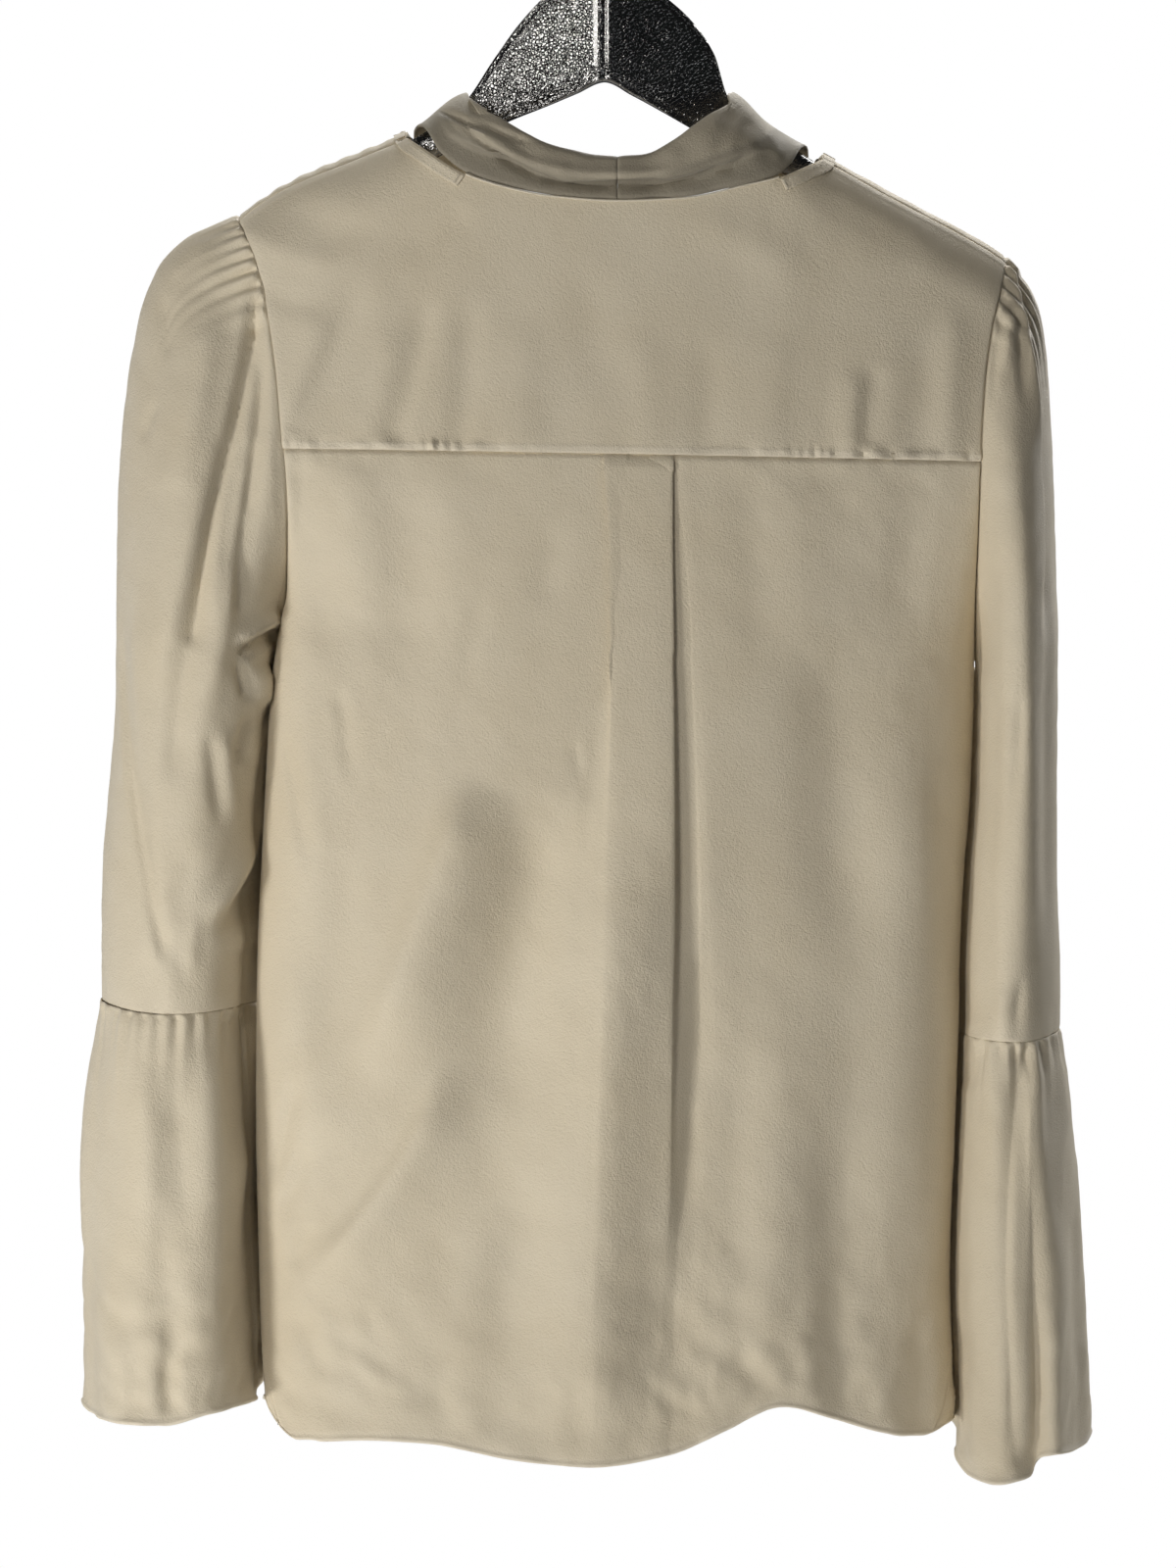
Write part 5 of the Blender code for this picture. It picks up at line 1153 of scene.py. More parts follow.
def front_points():
    """The front in one piece, from the shoulder seams and the open neck to the hem."""
    left, right = shoulder_s(NECK_LEFT), shoulder_s(NECK_RIGHT)
    middle = shoulder_s(5.0)
    s = np.concatenate([
        -1 + (left + 1) * (1 - np.cos(np.pi / 2 * np.linspace(0, 1, 44)))[:-1],
        mix(left, middle, 1 - (1 - np.linspace(0, 1, 40)) ** 0.9)[:-1],
        mix(middle, right, np.linspace(0, 1, 40) ** 0.9)[:-1],
        right + (1 - right) * np.sin(np.pi / 2 * np.linspace(0, 1, 44)),
    ])
    parts = np.linspace(-1, 1, 15)[:-1]
    top_x = shoulder_x(s)
    inside = (top_x > NECK_LEFT + 0.01) & (top_x < NECK_RIGHT - 0.01)
    rows = []
    for i, part in enumerate(parts):
        over = body(-1 if part < 0 else 1, top_x, crest(top_x) - SEAM_DROP * part * part, s)
        neck = body(1, top_x, FRONT_NECK.at("z", top_x) - 0.15 * i, s)
        rows.append(np.where(inside[:, None], neck, over))
    station = np.concatenate([
        graded(46, 0.0)[:-1] ** 1.2, mix(1, 2, np.linspace(0, 1, 40))[:-1],
        mix(2, 3, np.linspace(0, 1, 110)),
    ])
    x, z = body_net(station[:, None], s[None, :], FRONT_NECK, FRONT_HEM)
    z = np.where((station[:, None] == 0) & inside[None, :], z - 0.15 * len(parts), z)
    spread = np.broadcast_to(s, x.shape)
    side, x, z, spread = swung(1, x, z, spread, FRONT_HEM)
    points = np.concatenate([np.array(rows), body(side, x, z, spread)])
    x, z = points[..., 0], points[..., 2]
    top = run(points, 0)
    left_edge, right_edge = run(points, 1), from_end(run(points, 1), 1)
    out = FRONT_DEPTH * crease_out(x, z, FRONT_CREASES) * ease(left_edge / 26) * ease(right_edge / 26)
    out += crumple(points, 15, 34, 0.4, 0.3) + crumple(points, 16, 10, 0.05)
    out += crumple(points, 17, 15, 0.55, 0.9) * ease((-690 - z) / 110)
    in_neck = inside[None, :]
    out *= ease(top / 14) * ease(left_edge / 10) * ease(right_edge / 10)
    seam_drop = np.where(in_neck, 1e3, top)
    for gather in SHOULDER_GATHERS:
        line = np.exp(-(((top_x[None, :] - gather.x) / gather.width) ** 2))
        out += gather.out * line * ease(seam_drop / 2.5) * np.exp(-seam_drop / gather.length)
    out += curled(left_edge) + curled(right_edge)
    out += np.where(in_neck, 0, curled(top))
    points = push_out(points, out, 1)
    points = rolled_hem(points, 1)
    marks = hem_marks(points)
    return points, {"seam_allowance": np.zeros_like(marks), "rolled_hem": marks}


def tube_at(tube, z, angle):
    """Points round a sleeve or flounce: angle 0 at its inner edge, 90 at the front."""
    outer, inner, depth = (tube.at(name, z) for name in ("outer", "inner", "depth"))
    turn = np.radians(angle)
    x = (outer + inner) / 2 + (inner - outer) / 2 * np.cos(turn)
    return x, depth * np.sin(turn)


def tucked_in(side, z, angle):
    """How far the inner edge of a sleeve or flounce reaches in front of the body's side, in X."""
    under = ease((level(2, side) + 4 - z) / 22) * ease((z - level(3, side) + 8) / 14)
    return (1 if side == "left" else -1) * TUCK * np.exp(-(((angle - 32) / 22) ** 2)) * under


def armhole_ring(side_table, column, angle):
    """The armhole seam at angles round it: from the crest down the back to 360, or the front to 0."""
    s = -1.0 if column == "left" else 1.0
    x0 = shoulder_x(s)
    places, angles = [], []
    for way in (-1, 1):
        parts = np.linspace(0, 1, 12)[:-1]
        over = body(way, x0, crest(x0) - SEAM_DROP * parts ** 2, s)
        z = level(np.concatenate([np.linspace(0, 1, 60), np.linspace(1, 2, 120)[1:]]), column)
        path = np.concatenate([over, body(way, side_table.at("x", z), z, s)])
        path[:, 1] -= BOW * (path[:, 0] / BOW_SPAN) ** 2
        lengths = np.concatenate([[0], np.cumsum(np.linalg.norm(np.diff(path, axis=0), axis=1))])
        places.append(path)
        angles.append(180 - way * 180 * lengths / lengths[-1])
    angles = np.concatenate([angles[1][::-1], angles[0]])
    path = np.concatenate([places[1][::-1], places[0]])
    return [np.interp(angle, angles, path[:, i]) for i in range(3)]


def sleeve_reach(drop, angle):
    """How far the cloth has swung out from its seam, by the drop below it: slower over the head."""
    head = (1 - np.cos(np.radians(angle))) / 2
    front = np.clip(np.sin(np.radians(angle)), 0, 1)
    slow = mix(18, 70, np.sqrt(head)) + 34 * front
    return 1 - 0.55 * np.exp(-drop / (12 + 26 * front)) - 0.45 * np.exp(-drop / slow)


Arm = namedtuple("Arm", "side sides tube cuff waves head back front flare hem low_waves gathers low_back")
LEFT_ARM = Arm(
    "left", LEFT_SIDE, LEFT_TUBE, LEFT_CUFF, LEFT_SLEEVE_WAVES, LEFT_HEAD, LEFT_SLEEVE_BACK,
    LEFT_SLEEVE_FRONT, LEFT_FLARE, LEFT_HEM, LEFT_WAVES, LEFT_GATHERS, LEFT_FLOUNCE_BACK,
)
RIGHT_ARM = Arm(
    "right", RIGHT_SIDE, RIGHT_TUBE, RIGHT_CUFF, RIGHT_SLEEVE_WAVES, RIGHT_HEAD, RIGHT_SLEEVE_BACK,
    RIGHT_SLEEVE_FRONT, RIGHT_FLARE, RIGHT_HEM, RIGHT_WAVES, RIGHT_GATHERS, RIGHT_FLOUNCE_BACK,
)


def sleeve_points(arm):
    """A set-in sleeve, from its armhole seam down to the flounce's seam."""
    every = np.linspace(0, 360, 1441)
    density = 1 + 4.6 * np.exp(-(((every - 190) / 36) ** 2))
    share = np.concatenate([[0], np.cumsum((density[1:] + density[:-1]) / 2)])
    angle = np.interp(np.linspace(0, share[-1], 245)[:-1], share, every)
    start_x, start_y, start_z = armhole_ring(arm.sides, arm.side, angle)
    end_z = arm.cuff.at("z", angle)
    f = (np.linspace(0, 1, 110) ** 1.5)
    f = np.concatenate([f[:-3], 1 - np.array([0.006, 0.003, 0.0012, 0.0])])[:, None]
    z = mix(start_z, end_z, f)
    goal_x, goal_y = tube_at(arm.tube, z, angle)
    reach = sleeve_reach(start_z - z, angle) / sleeve_reach(start_z - end_z, angle)
    x, y = mix(start_x, goal_x, reach), mix(start_y, goal_y, reach)
    swell = wave_out(arm.waves, angle, f) * np.sin(np.pi * f)
    turn = np.radians(angle)
    x = x - np.sign(goal_x) * swell * np.cos(turn)
    x = x + tucked_in(arm.side, z, angle) * ease((start_z - z) / 8)
    points = bowed(x, y + swell * np.sin(turn), z)
    sign = -1 if arm.side == "left" else 1
    drop = run(points, 0)
    rest = from_end(drop, 0)
    behind = ease((0.3 - np.sin(turn)) / 0.5)
    out = crease_out(points[..., 0], z, arm.back) * behind
    out += crease_out(points[..., 0], z, arm.front) * (1 - behind)
    out += crumple(points, 21 if sign < 0 else 22, 30, 0.35, 0.3) + crumple(points, 23, 9, 0.1, 0.8)
    out *= ease(drop / 10) * ease(rest / 5)
    out += gathers_out(arm.head, angle, drop)
    out += curled(drop) + curled(rest, 0.3, 0.7)
    pucker = crumple(points, 24, 6, 0.2, 0.1) * np.exp(-((rest - 2.5) / 3) ** 2)
    points = push_out(points, out + pucker, sign, True)
    ring = points[0]
    way = np.roll(ring, -1, 0) - np.roll(ring, 1, 0)
    under = np.stack([0 * turn, way[:, 2], -way[:, 1]], axis=-1)
    under /= np.linalg.norm(under, axis=-1, keepdims=True)
    under *= np.sign(np.sum(under * (ring - ring.mean(0)), axis=-1, keepdims=True))
    inwards = np.array([-sign * 1.0, 0.0, 0.0])
    tucked = [ring + reach * inwards - deep * under for reach, deep in ((2.4, 1.1), (1.2, 0.9))]
    points = np.concatenate([np.array(tucked), points])
    marks = 0.4 * ease((5.0 - rest) / 1.0)
    marks = np.concatenate([marks[:1], marks[:1], marks])
    return points, {"seam_allowance": marks, "rolled_hem": np.zeros_like(marks)}


def flounce_points(arm):
    """A gathered flounce, from its seam on the sleeve down to its hem."""
    count = 240
    angle = np.arange(count) * 360 / count
    f = (np.linspace(0, 1, 92) ** 1.2)[:, None]
    z = mix(arm.cuff.at("z", angle), arm.hem.at("z", angle), f)
    x, y = tube_at(arm.flare, z, angle)
    middle = (arm.flare.at("outer", z) + arm.flare.at("inner", z)) / 2
    length = np.hypot(x - middle, y)
    grown = 1 + wave_out(arm.low_waves, angle, f) / length * np.minimum(1.0, f * 8)
    points = bowed(middle + (x - middle) * grown + tucked_in(arm.side, z, angle), y * grown, z)
    sign = -1 if arm.side == "left" else 1
    drop = run(points, 0)
    turn = np.radians(angle)
    behind = ease((0.3 - np.sin(turn)) / 0.5)
    out = crease_out(points[..., 0], z, arm.low_back) * behind
    out += crumple(points, 31 if sign < 0 else 32, 30, 0.6, 0.35)
    fine = crumple(points, 33, 12, 0.4, 0.9) + crumple(points, 34, 6, 0.1, 0.9)
    out += fine * (0.3 + ease((f - 0.5) / 0.4))
    out *= ease(drop / 8)
    out += gathers_out(arm.gathers, angle, drop)
    out += curled(drop, 0.3, 0.7)
    points = push_out(points, out, sign, True)
    points = rolled_hem(points, sign, True)
    marks = hem_marks(points)
    return points, {"seam_allowance": np.zeros_like(marks), "rolled_hem": marks}


def tie_points(band, lift):
    """Half of the neck tie: it stands and rolls at the neck, rides over the hanger and hangs."""
    t = np.concatenate([np.linspace(0, 8, 110)[:-1], np.linspace(8, 14, 110)])[:, None]
    step = np.linspace(0, 7, 36)[None, :]
    side, low_x, low_z, top_x, top_z, roll = (band.at(name, t) for name in band.names[1:])
    out, up, straight = (TIE_ROLL.at(name, step) for name in ("out", "up", "straight"))
    up = up / TIE_TOP
    x = mix(mix(low_x, top_x, straight), mix(low_x, top_x, up), roll)
    z = mix(mix(low_z, top_z, straight), mix(low_z, top_z, up), roll)
    lift = out * roll + lift * ease(2 * side)
    drop = np.minimum(np.abs(side), 1.0) * np.maximum(crest(x) - z, 2.0)
    way = np.where(side < 0, -1, 1)
    low = np.minimum(z, crest(x) - CREST_ROUND)
    depth = np.abs(body(way, x, low, across(x, low), lift)[..., 1] - BOW * (x / BOW_SPAN) ** 2)
    return bowed(x, way * depth * rounding(drop), crest(x) - drop), t, straight


def finished_tie(side):
    band = LEFT_BAND if side == "left" else RIGHT_BAND
    points, t, straight = tie_points(band, 3.6)
    sign = -1 if side == "right" else 1
    out = crease_out(points[..., 0], points[..., 2], TIE_CREASES) * ease((6 - t) / 1.0)
    hanging = ease((t - 7) / 1.5)
    out += FRONT_DEPTH * crease_out(points[..., 0], points[..., 2], FRONT_CREASES) * hanging
    turn = 1.0 if side == "left" else 2.6
    out += 2.4 * np.sin(2 * np.pi * (1.15 * straight + 0.22 * np.sin(0.8 * t + turn)) + turn) * hanging
    points[..., 0] += 5.0 * np.sin(0.75 * t + turn) * ease((t - 8) / 3) * np.ones_like(straight)
    wander = crumple(points, 41 if side == "left" else 42, 30, 0.55, 0.5)
    out += wander * ease(t / 2.0) + crumple(points, 43, 12, 0.12, 0.8)
    out += 0.3 * np.exp(-((straight - 0.035) / 0.03) ** 2)
    out += curled(np.broadcast_to(run(points, 0), out.shape), 0.25, 0.8)
    points = push_out(points, out, sign)
    marks = 0.3 * ease((0.16 - straight) / 0.03) + 0 * out
    # painted shade: darker towards the neck, darkest on the stand under the roll, where the collar lies in
    # shade
    neck_shade = ease((9.5 - t) / 4) * (1.0 - 0.3 * ease((straight - 0.36) / 0.06)) + 0 * out
    return points, {"seam_allowance": marks, "rolled_hem": np.zeros_like(marks), "worn_neck": neck_shade}


class Resting:
    """The outer faces of some pieces, on which a strip or a stitch is laid."""

    def __init__(self, pieces):
        points, faces = [], []
        for piece in pieces:
            start = len(points)
            points += [vertex.co for vertex in piece.data.vertices]
            faces += [[start + corner for corner in face.vertices] for face in piece.data.polygons]
        self.tree = BVHTree.FromPolygons(points, faces)

    def above(self, side, x, z, lift):
        """The place over the cloth at X and Z in millimetres, from behind, above or in front."""
        way = Vector((0, side, 0 if side else 1))
        start = Vector(bowed(x, 0.0, z if side else -100.0)) * MM
        reach = 0.15
        found, normal = self.tree.ray_cast(start + way * reach, -way, 2 * reach)[:2]
        if found is None:
            raise ValueError(f"nothing to lie on at X {x:.1f} and Z {z:.1f}, side {side}")
        return np.array(found + normal * math.copysign(lift * MM, normal.dot(way))) / MM


def binding_points(strip, resting):
    """The narrow strip on the free neck edge, from the slit over the shoulder to the centre front."""
    rows = []
    for t in np.linspace(0, 14, 225):
        side, x, z, in_x, in_z = (float(strip.at(name, t)) for name in strip.names[1:])
        side = -1 if side < -0.5 else 1 if side > 0.5 else 0
        if z < DEEP_NECK_Z:
            outer, inner = body(1, np.array([x, in_x]), np.array([z, in_z]), 0.0, 1.2)
        else:
            outer = resting.above(side, x, z, 0.9)
            inner = resting.above(side, in_x, in_z, 0.9)
        rows.append([mix(outer, inner, share) for share in STRIP_SHARES])
    points = np.array(rows)
    kernel = np.ones(STRIP_SMOOTHING) / STRIP_SMOOTHING
    ends = STRIP_SMOOTHING // 2
    padded = np.concatenate([points[:1].repeat(ends, 0), points, points[-1:].repeat(ends, 0)])
    return np.apply_along_axis(lambda line: np.convolve(line, kernel, "valid"), 0, padded)


def tube_piece(name, path, radius, material, sides=12, node=None, taper=None):
    """A round cord, bead or wire along a path of points in millimetres."""
    path = np.array(path, dtype=float)
    ways = np.gradient(path, axis=0)
    ways /= np.linalg.norm(ways, axis=1, keepdims=True)
    ref = np.array([0.0, 1.0, 0.0])
    first = np.cross(ways, ref)
    bad = np.linalg.norm(first, axis=1) < 0.05
    first[bad] = np.cross(ways[bad], [1.0, 0.0, 0.0])
    first /= np.linalg.norm(first, axis=1, keepdims=True)
    second = np.cross(ways, first)
    turn = np.arange(sides) * 2 * np.pi / sides
    size = radius * (np.ones(len(path)) if taper is None else taper)
    points = path[:, None] + size[:, None, None] * (
        first[:, None] * np.cos(turn)[None, :, None] + second[:, None] * np.sin(turn)[None, :, None]
    )
    mesh = net_mesh(points, True)[0]
    bmesh.ops.remove_doubles(mesh, verts=mesh.verts, dist=FINE_WELD)
    bmesh.ops.holes_fill(mesh, edges=mesh.edges)
    bmesh.ops.recalc_face_normals(mesh, faces=mesh.faces)
    return finish_piece(name, mesh, material, node)


def stitched(name, lines, material):
    """Many small stitches in one piece: each line is (points, gap, length, width)."""
    mesh = bmesh.new()
    for path, gap, length, width in lines:
        path = np.array(path, dtype=float)
        lengths = np.concatenate([[0], np.cumsum(np.linalg.norm(np.diff(path, axis=0), axis=1))])
        for start in np.arange(gap / 2, lengths[-1] - length, gap + length):
            first, last = (
                Vector([np.interp(place, lengths, path[:, i]) for i in range(3)]) * MM
                for place in (start, start + length)
            )
            way = last - first
            matrix = (
                Matrix.Translation((first + last) / 2)
                @ way.to_track_quat("X", "Z").to_matrix().to_4x4()
                @ Matrix.Diagonal((way.length / 2, width / 2 * MM, width / 2 * MM, 1))
            )
            bmesh.ops.create_icosphere(mesh, subdivisions=1, radius=1, matrix=matrix)
    return finish_piece(name, mesh, material, None)


def hanger_points():
    """Arms and dome in one, with a seam down the middle and a stitched welt inside the edge."""
    x = np.concatenate([[-184, -183, -181], np.linspace(-178, -60, 70)[:-1], np.linspace(-60, -3, 64),
                        [-1.6, -0.8, 0, 0.8, 1.6], np.linspace(3, 68, 70), np.linspace(68, 200, 76)[1:],
                        [202, 203]])[:, None]
    sides = 56
    turn = (np.arange(sides) * 2 * np.pi / sides)[None, :]
    top, low, half = (ARMS.at(name, x) for name in ("top", "low", "half"))
    tall = (top - low) / 2
    c, s = np.cos(turn), np.sin(turn)
    y = half * np.sign(s) * np.abs(s) ** mix(0.6, 0.2, ease((tall - 9) / 6))
    up = tall * np.sign(c) * np.abs(c) ** 0.7
    inset = tall - np.abs(up)
    groove = -0.45 * np.exp(-((inset - 3.2) / 0.5) ** 2) + 0.35 * np.exp(-((inset - 1.2) / 1.4) ** 2)
    deep = ease((tall - 9) / 6)
    seam = -0.6 * np.exp(-((x / 0.8) ** 2))
    swell = 0.5 * np.exp(-((np.abs(x) - 3) / 2.0) ** 2)
    roof = -0.06 * np.minimum(np.abs(x), 60)
    y = y + np.sign(s) * (groove * deep + seam + swell * deep + roof * np.minimum(1, np.abs(s) * 3))
    return bowed(x + 0 * y, y, (top + low) / 2 + up)


class BlouseCloth(bpy.types.PropertyGroup):
    """The silk."""

    silk_colour: FloatVectorProperty(
        name="Silk colour", description="Colour of the single cloth", subtype="COLOR", size=3,
        min=0, max=1, default=(0.775, 0.69, 0.535))
    doubled_colour: FloatVectorProperty(
        name="Doubled cloth", description="Colour where two or more layers lie together",
        subtype="COLOR", size=3, min=0, max=1, default=(0.86, 0.775, 0.62))
    thickness: FloatProperty(
        name="Thickness", description="Wall of the cloth", unit="LENGTH", default=0.0005,
        min=0.0001, max=0.003, precision=5)
    tie_thickness: FloatProperty(
        name="Tie thickness", description="Wall of the doubled neck tie", unit="LENGTH",
        default=0.0012, min=0.0001, max=0.004, precision=5)
    grain_depth: FloatProperty(
        name="Grain depth", description="Height of the crepe's grain", unit="LENGTH",
        default=0.0005, min=0, max=0.002, precision=5)
    sheen: FloatProperty(
        name="Sheen", description="Soft shine at glancing angles", subtype="FACTOR", default=0.3,
        min=0, max=1)
    translucency: FloatProperty(
        name="Translucency", description="How much light passes into the cloth", subtype="FACTOR",
        default=0.0, min=0, max=1)


class BlouseHanger(bpy.types.PropertyGroup):
    """The hanger under the blouse."""

    leather_colour: FloatVectorProperty(
        name="Leather colour", description="Colour of the leather cover", subtype="COLOR", size=3,
        min=0, max=1, default=(0.003, 0.003, 0.0034))
    grain_depth: FloatProperty(
        name="Grain depth", description="Height of the leather's grain", unit="LENGTH",
        default=0.0007, min=0, max=0.002, precision=5)


class BlouseStage(bpy.types.PropertyGroup):
    """Floor, lights and camera."""

    camera_distance: FloatProperty(
        name="Camera distance", description="From the blouse's middle to the camera",
        unit="LENGTH", default=5.0, min=1, max=20)
    frame_height: FloatProperty(
        name="Frame height", description="Height that the camera takes in at the blouse",
        unit="LENGTH", default=0.8, min=0.1, max=5)
    floor_width: FloatProperty(
        name="Floor width", description="Width of the pale floor", unit="LENGTH", default=2.4,
        min=0.5, max=20)
    brightness: FloatProperty(
        name="Brightness", description="Share of the lights' full power", subtype="FACTOR",
        default=1.0, min=0, max=4)


class BLOUSE_OT_back(bpy.types.Operator):
    """Sew the back yoke and the pleated back below it"""

    bl_idname = "blouse.back"
    bl_label = "Back"

    def execute(self, context):
        cloth_piece("back_yoke", *yoke_points(), rests_on=["hanger_leather"], flip=True)
        cloth_piece("back_body", *back_points(), rests_on=["back_yoke_cloth"], flip=True)
        return {"FINISHED"}


class BLOUSE_OT_front(bpy.types.Operator):
    """Sew the front, gathered into the shoulder seams"""

    bl_idname = "blouse.front"
    bl_label = "Front"

    def execute(self, context):
        cloth_piece("front_body", *front_points(), rests_on=["hanger_leather"])
        return {"FINISHED"}


class BLOUSE_OT_sleeves(bpy.types.Operator):
    """Set in the sleeves and gather the flounces onto them"""

    bl_idname = "blouse.sleeves"
    bl_label = "Sleeves and flounces"

    def execute(self, context):
        for arm in (LEFT_ARM, RIGHT_ARM):
            sleeve, flounce = "sleeve_" + arm.side, "flounce_" + arm.side
            flip = arm.side == "left"
            cloth_piece(sleeve, *sleeve_points(arm), ["back_yoke_cloth"], True, flip)
            cloth_piece(flounce, *flounce_points(arm), [sleeve + "_cloth"], True, flip, held="gathered")
        return {"FINISHED"}


class BLOUSE_OT_neck(bpy.types.Operator):
    """Sew the neck tie to the back neck and the strips to the free neck edges"""

    bl_idname = "blouse.neck"
    bl_label = "Neck tie and neck strips"

    def execute(self, context):
        body_pieces = ["back_yoke_cloth", "front_body_cloth"]
        thickness = context.scene.blouse_cloth.tie_thickness
        for side in ("left", "right"):
            cloth_piece(
                "neck_tie_" + side, *finished_tie(side), body_pieces, flip=side == "right",
                thickness=thickness)
        resting = Resting([bpy.data.objects[name] for name in body_pieces])
        for side, strip in (("left", LEFT_STRIP), ("right", RIGHT_STRIP)):
            points = binding_points(strip, resting)
            marks = {"seam_allowance": np.full(points.shape[:2], 0.7)}
            cloth_piece("neck_binding_" + side, points, marks, ["back_yoke_cloth"], flip=side == "left")
        return {"FINISHED"}


class BLOUSE_OT_stitches(bpy.types.Operator):
    """Sew the visible stitches: neck bead, topstitched strips and bar tacks"""

    bl_idname = "blouse.stitches"
    bl_label = "Stitches"

    def execute(self, context):
        cream = thread_material("cream_thread", (0.83, 0.76, 0.62), 0.5)
        x = np.linspace(-70.5, 88.5, 240)
        z = BACK_NECK.at("z", x) + 0.2
        bead = body(-1, x, z, across(x, z), 0.3)
        tube_piece("neck_seam_bead", bead, 0.55, cream, 10)
        lines = []
        strips = Resting([bpy.data.objects[f"neck_binding_{side}_cloth"] for side in ("left", "right")])
        for strip in (LEFT_STRIP, RIGHT_STRIP):
            for share in (0.2, 0.8):
                path = []
                for t in np.linspace(0.2, 3.2, 60):
                    x, z, in_x, in_z = (float(strip.at(name, t)) for name in ("x", "z", "in_x", "in_z"))
                    path.append(strips.above(-1, mix(x, in_x, share), mix(z, in_z, share), 0.12))
                lines.append((path, 0.5, 2.1, 0.42))
            x, z, in_x, in_z = (float(strip.at(name, 0.25)) for name in ("x", "z", "in_x", "in_z"))
            for part in np.linspace(0.12, 0.88, 8):
                middle = strips.above(-1, mix(x, in_x, part), mix(z, in_z, part), 0.2)
                reach = np.array([1.1, 0.0, -0.75 if strip is LEFT_STRIP else 0.6])
                lines.append(([middle - reach * 0.9, middle + reach * 0.9], 0.0, 1.9, 0.5))
        stitched("topstitching", lines, cream)
        return {"FINISHED"}


class BLOUSE_OT_hanger(bpy.types.Operator):
    """Make the leather-covered hanger, its stitching and its hook"""

    bl_idname = "blouse.hanger"
    bl_label = "Hanger"

    def execute(self, context):
        mesh = net_mesh(hanger_points(), True)[0]
        bmesh.ops.remove_doubles(mesh, verts=mesh.verts, dist=WELD)
        bmesh.ops.holes_fill(mesh, edges=mesh.edges)
        bmesh.ops.recalc_face_normals(mesh, faces=mesh.faces)
        leather = leather_material("black_leather")
        resting = Resting([finish_piece("hanger_leather", mesh, leather, "hanger_body")])
        lines = []
        for side in (-1, 1):
            paths = []
            for edge, inset, start, end in HANGER_SEAMS:
                paths.append([(x, float(ARMS.at(edge, x)) + inset) for x in np.linspace(start, end, 60)])
            for x in (-2.6, 2.6):
                paths.append([(x, z) for z in np.linspace(-91, -141, 40)])
            for path in paths:
                lines.append(([resting.above(side, x, z, 0.1) for x, z in path], 1.1, 2.6, 0.7))
        black = thread_material("black_thread", (0.016, 0.016, 0.017), 0.45)
        stitched("hanger_stitches", lines, black)
        radius = HOOK_INSIDE + HOOK_WIRE / 2
        turns = np.radians(np.arange(-45, 196, 3))
        stem_z = np.concatenate([np.linspace(STEM_FOOT, -56, 12), np.linspace(-55, -42.5, 14)])
        path = [(float(STEM.at("x", z)), 0, z) for z in stem_z]
        path += [(radius * math.cos(a), 0, -HOOK_INSIDE + radius * math.sin(a)) for a in turns]
        taper = np.ones(len(path))
        taper[-len(HOOK_TIP):] = HOOK_TIP
        steel = wire_material("steel_wire")
        tube_piece("hook_wire", path, HOOK_WIRE / 2, steel, 20, "hanger_hook", taper)
        return {"FINISHED"}


def area_light(light, brightness):
    data = bpy.data.lights.new(light.name, "AREA")
    data.shape = "DISK"
    data.size = light.width
    data.energy = light.power * brightness
    data.color = light.colour
    made = bpy.data.objects.new(light.name, data)
    made.location = light.place
    way = Vector(light.aim) - Vector(light.place)
    made.rotation_euler = way.to_track_quat("-Z", "Y").to_euler()
    bpy.context.scene.collection.objects.link(made)


def pale_floor(width):
    """A round floor of plain pale card."""
    mesh = bmesh.new()
    bmesh.ops.create_circle(mesh, cap_ends=True, segments=96, radius=width / 2)
    bmesh.ops.translate(mesh, vec=(0, 0, FLOOR_Z), verts=mesh.verts)
    data = bpy.data.meshes.new("floor")
    mesh.to_mesh(data)
    mesh.free()
    pale, tree, shader = new_material("pale_floor")
    cloud = noise(tree, object_place(tree), 3, 2.0)
    tone = mix_colour(tree, cloud, (0.9, 0.9, 0.89, 1), (0.93, 0.93, 0.92, 1))
    tree.links.new(tone, shader.inputs["Base Color"])
    set_values(shader, {"Roughness": 0.8})
    data.materials.append(pale)
    floor = bpy.data.objects.new("floor", data)
    bpy.context.scene.collection.objects.link(floor)


def studio_world():
    """White where the camera sees past the floor, and nearly dark as a light."""
    world = bpy.data.worlds.new("studio")
    world.use_nodes = True
    tree = world.node_tree
    dim = tree.nodes["Background"]
    set_values(dim, {"Color": (0.94, 0.95, 0.97, 1), "Strength": 0.02})
    seen = tree.nodes.new("ShaderNodeBackground")
    set_values(seen, {"Color": (1, 1, 1, 1), "Strength": 1.0})
    path = tree.nodes.new("ShaderNodeLightPath")
    blend = tree.nodes.new("ShaderNodeMixShader")
    for i, output in enumerate((path.outputs["Is Camera Ray"], dim.outputs[0], seen.outputs[0])):
        tree.links.new(output, blend.inputs[i])
    tree.links.new(blend.outputs[0], tree.nodes["World Output"].inputs["Surface"])
    return world


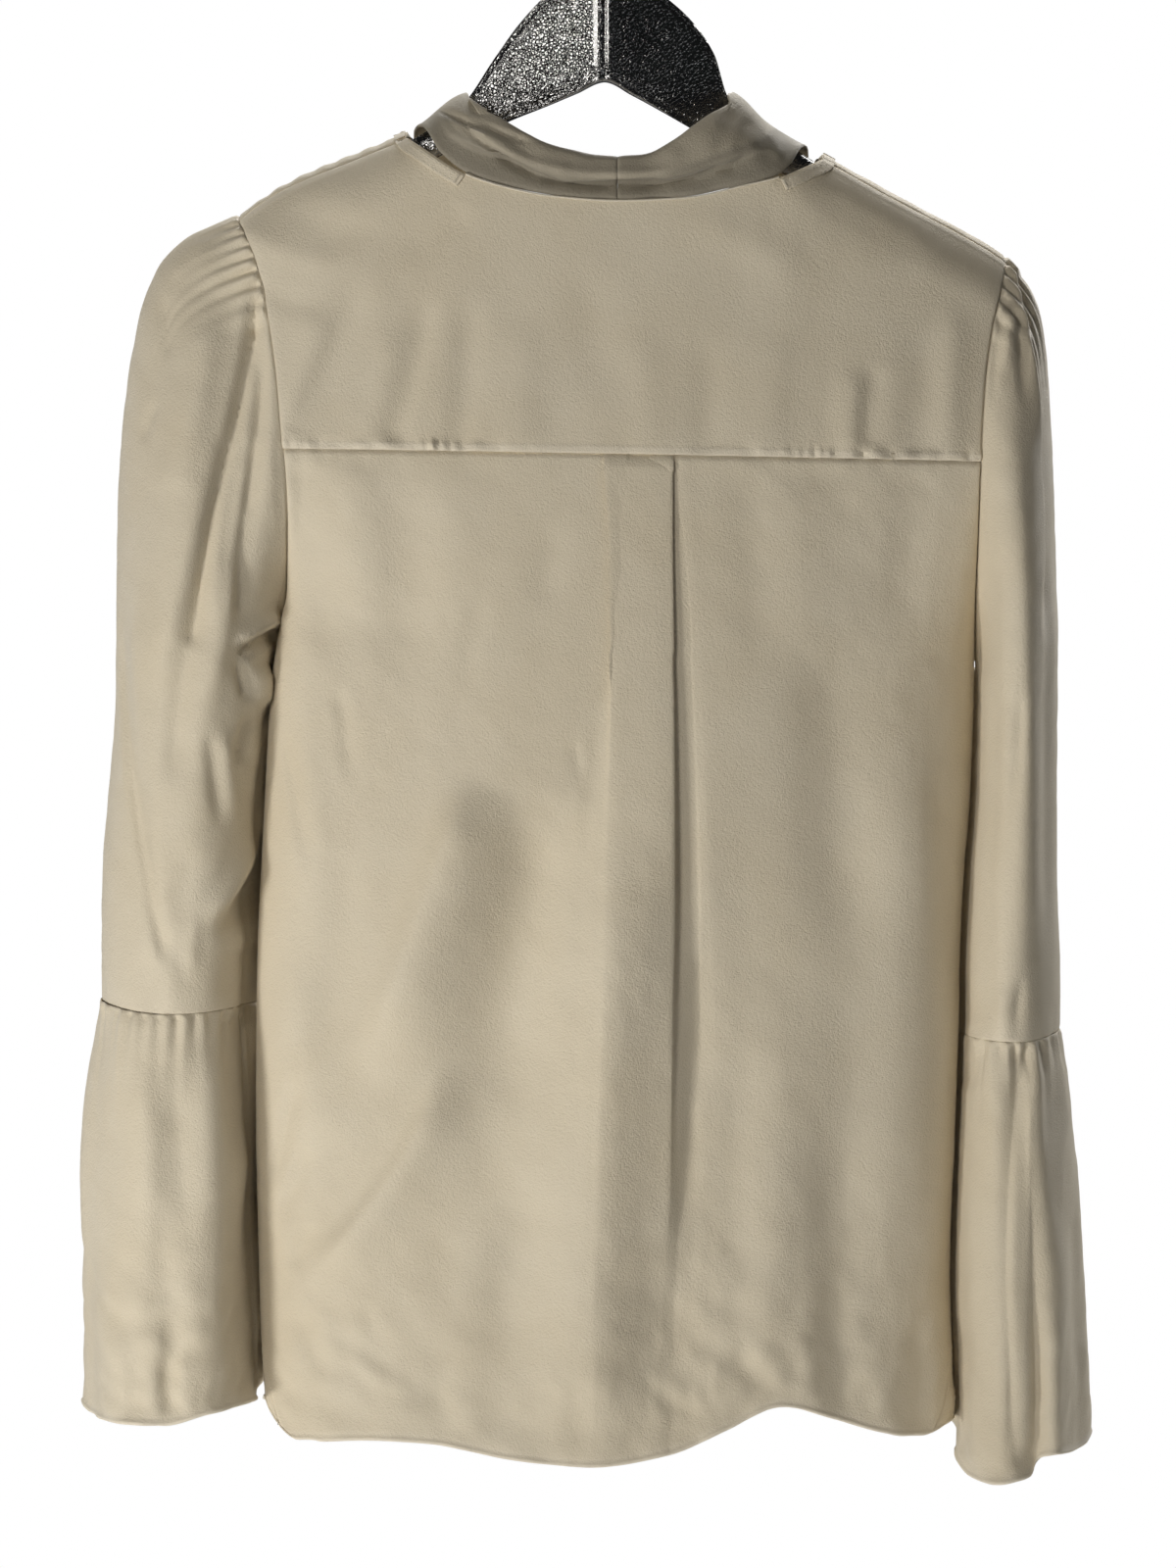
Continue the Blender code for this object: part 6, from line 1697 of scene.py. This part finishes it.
class BLOUSE_OT_stage(bpy.types.Operator):
    """Set up the floor, the soft lights and the camera"""

    bl_idname = "blouse.stage"
    bl_label = "Floor, lights and camera"

    def execute(self, context):
        stage = context.scene.blouse_stage
        pale_floor(stage.floor_width)
        for light in LIGHTS:
            area_light(light, stage.brightness)
        context.scene.world = studio_world()
        context.scene.view_settings.view_transform = "Standard"
        data = bpy.data.cameras.new("camera")
        data.sensor_width = 36
        data.lens = data.sensor_width * stage.camera_distance / stage.frame_height
        data.clip_end = 50
        camera = bpy.data.objects.new("camera", data)
        camera.location = (-0.0085, -stage.camera_distance - 0.005, -0.5025)
        camera.rotation_euler = (math.radians(90), 0, 0)
        context.scene.collection.objects.link(camera)
        context.scene.camera = camera
        return {"FINISHED"}


STEPS = (
    BLOUSE_OT_hanger, BLOUSE_OT_back, BLOUSE_OT_front, BLOUSE_OT_sleeves, BLOUSE_OT_neck,
    BLOUSE_OT_stitches, BLOUSE_OT_stage,
)


class BLOUSE_PT_panel(bpy.types.Panel):
    """The blouse's pieces and sizes"""

    bl_label = "Silk Blouse"
    bl_space_type = "VIEW_3D"
    bl_region_type = "UI"
    bl_category = "Blouse"

    def draw(self, context):
        for step in STEPS:
            self.layout.operator(step.bl_idname)
        for group in (context.scene.blouse_cloth, context.scene.blouse_hanger, context.scene.blouse_stage):
            box = self.layout.box()
            for name in group.__annotations__:
                box.prop(group, name)


CLASSES = (BlouseCloth, BlouseHanger, BlouseStage, *STEPS, BLOUSE_PT_panel)


def register():
    for made in CLASSES:
        bpy.utils.register_class(made)
    bpy.types.Scene.blouse_cloth = PointerProperty(type=BlouseCloth)
    bpy.types.Scene.blouse_hanger = PointerProperty(type=BlouseHanger)
    bpy.types.Scene.blouse_stage = PointerProperty(type=BlouseStage)


def unregister():
    del bpy.types.Scene.blouse_stage
    del bpy.types.Scene.blouse_hanger
    del bpy.types.Scene.blouse_cloth
    for made in reversed(CLASSES):
        bpy.utils.unregister_class(made)


def main():
    register()
    bpy.ops.blouse.hanger()
    bpy.ops.blouse.back()
    bpy.ops.blouse.front()
    bpy.ops.blouse.sleeves()
    bpy.ops.blouse.neck()
    bpy.ops.blouse.stitches()
    bpy.ops.blouse.stage()


if __name__ == "__main__":
    main()
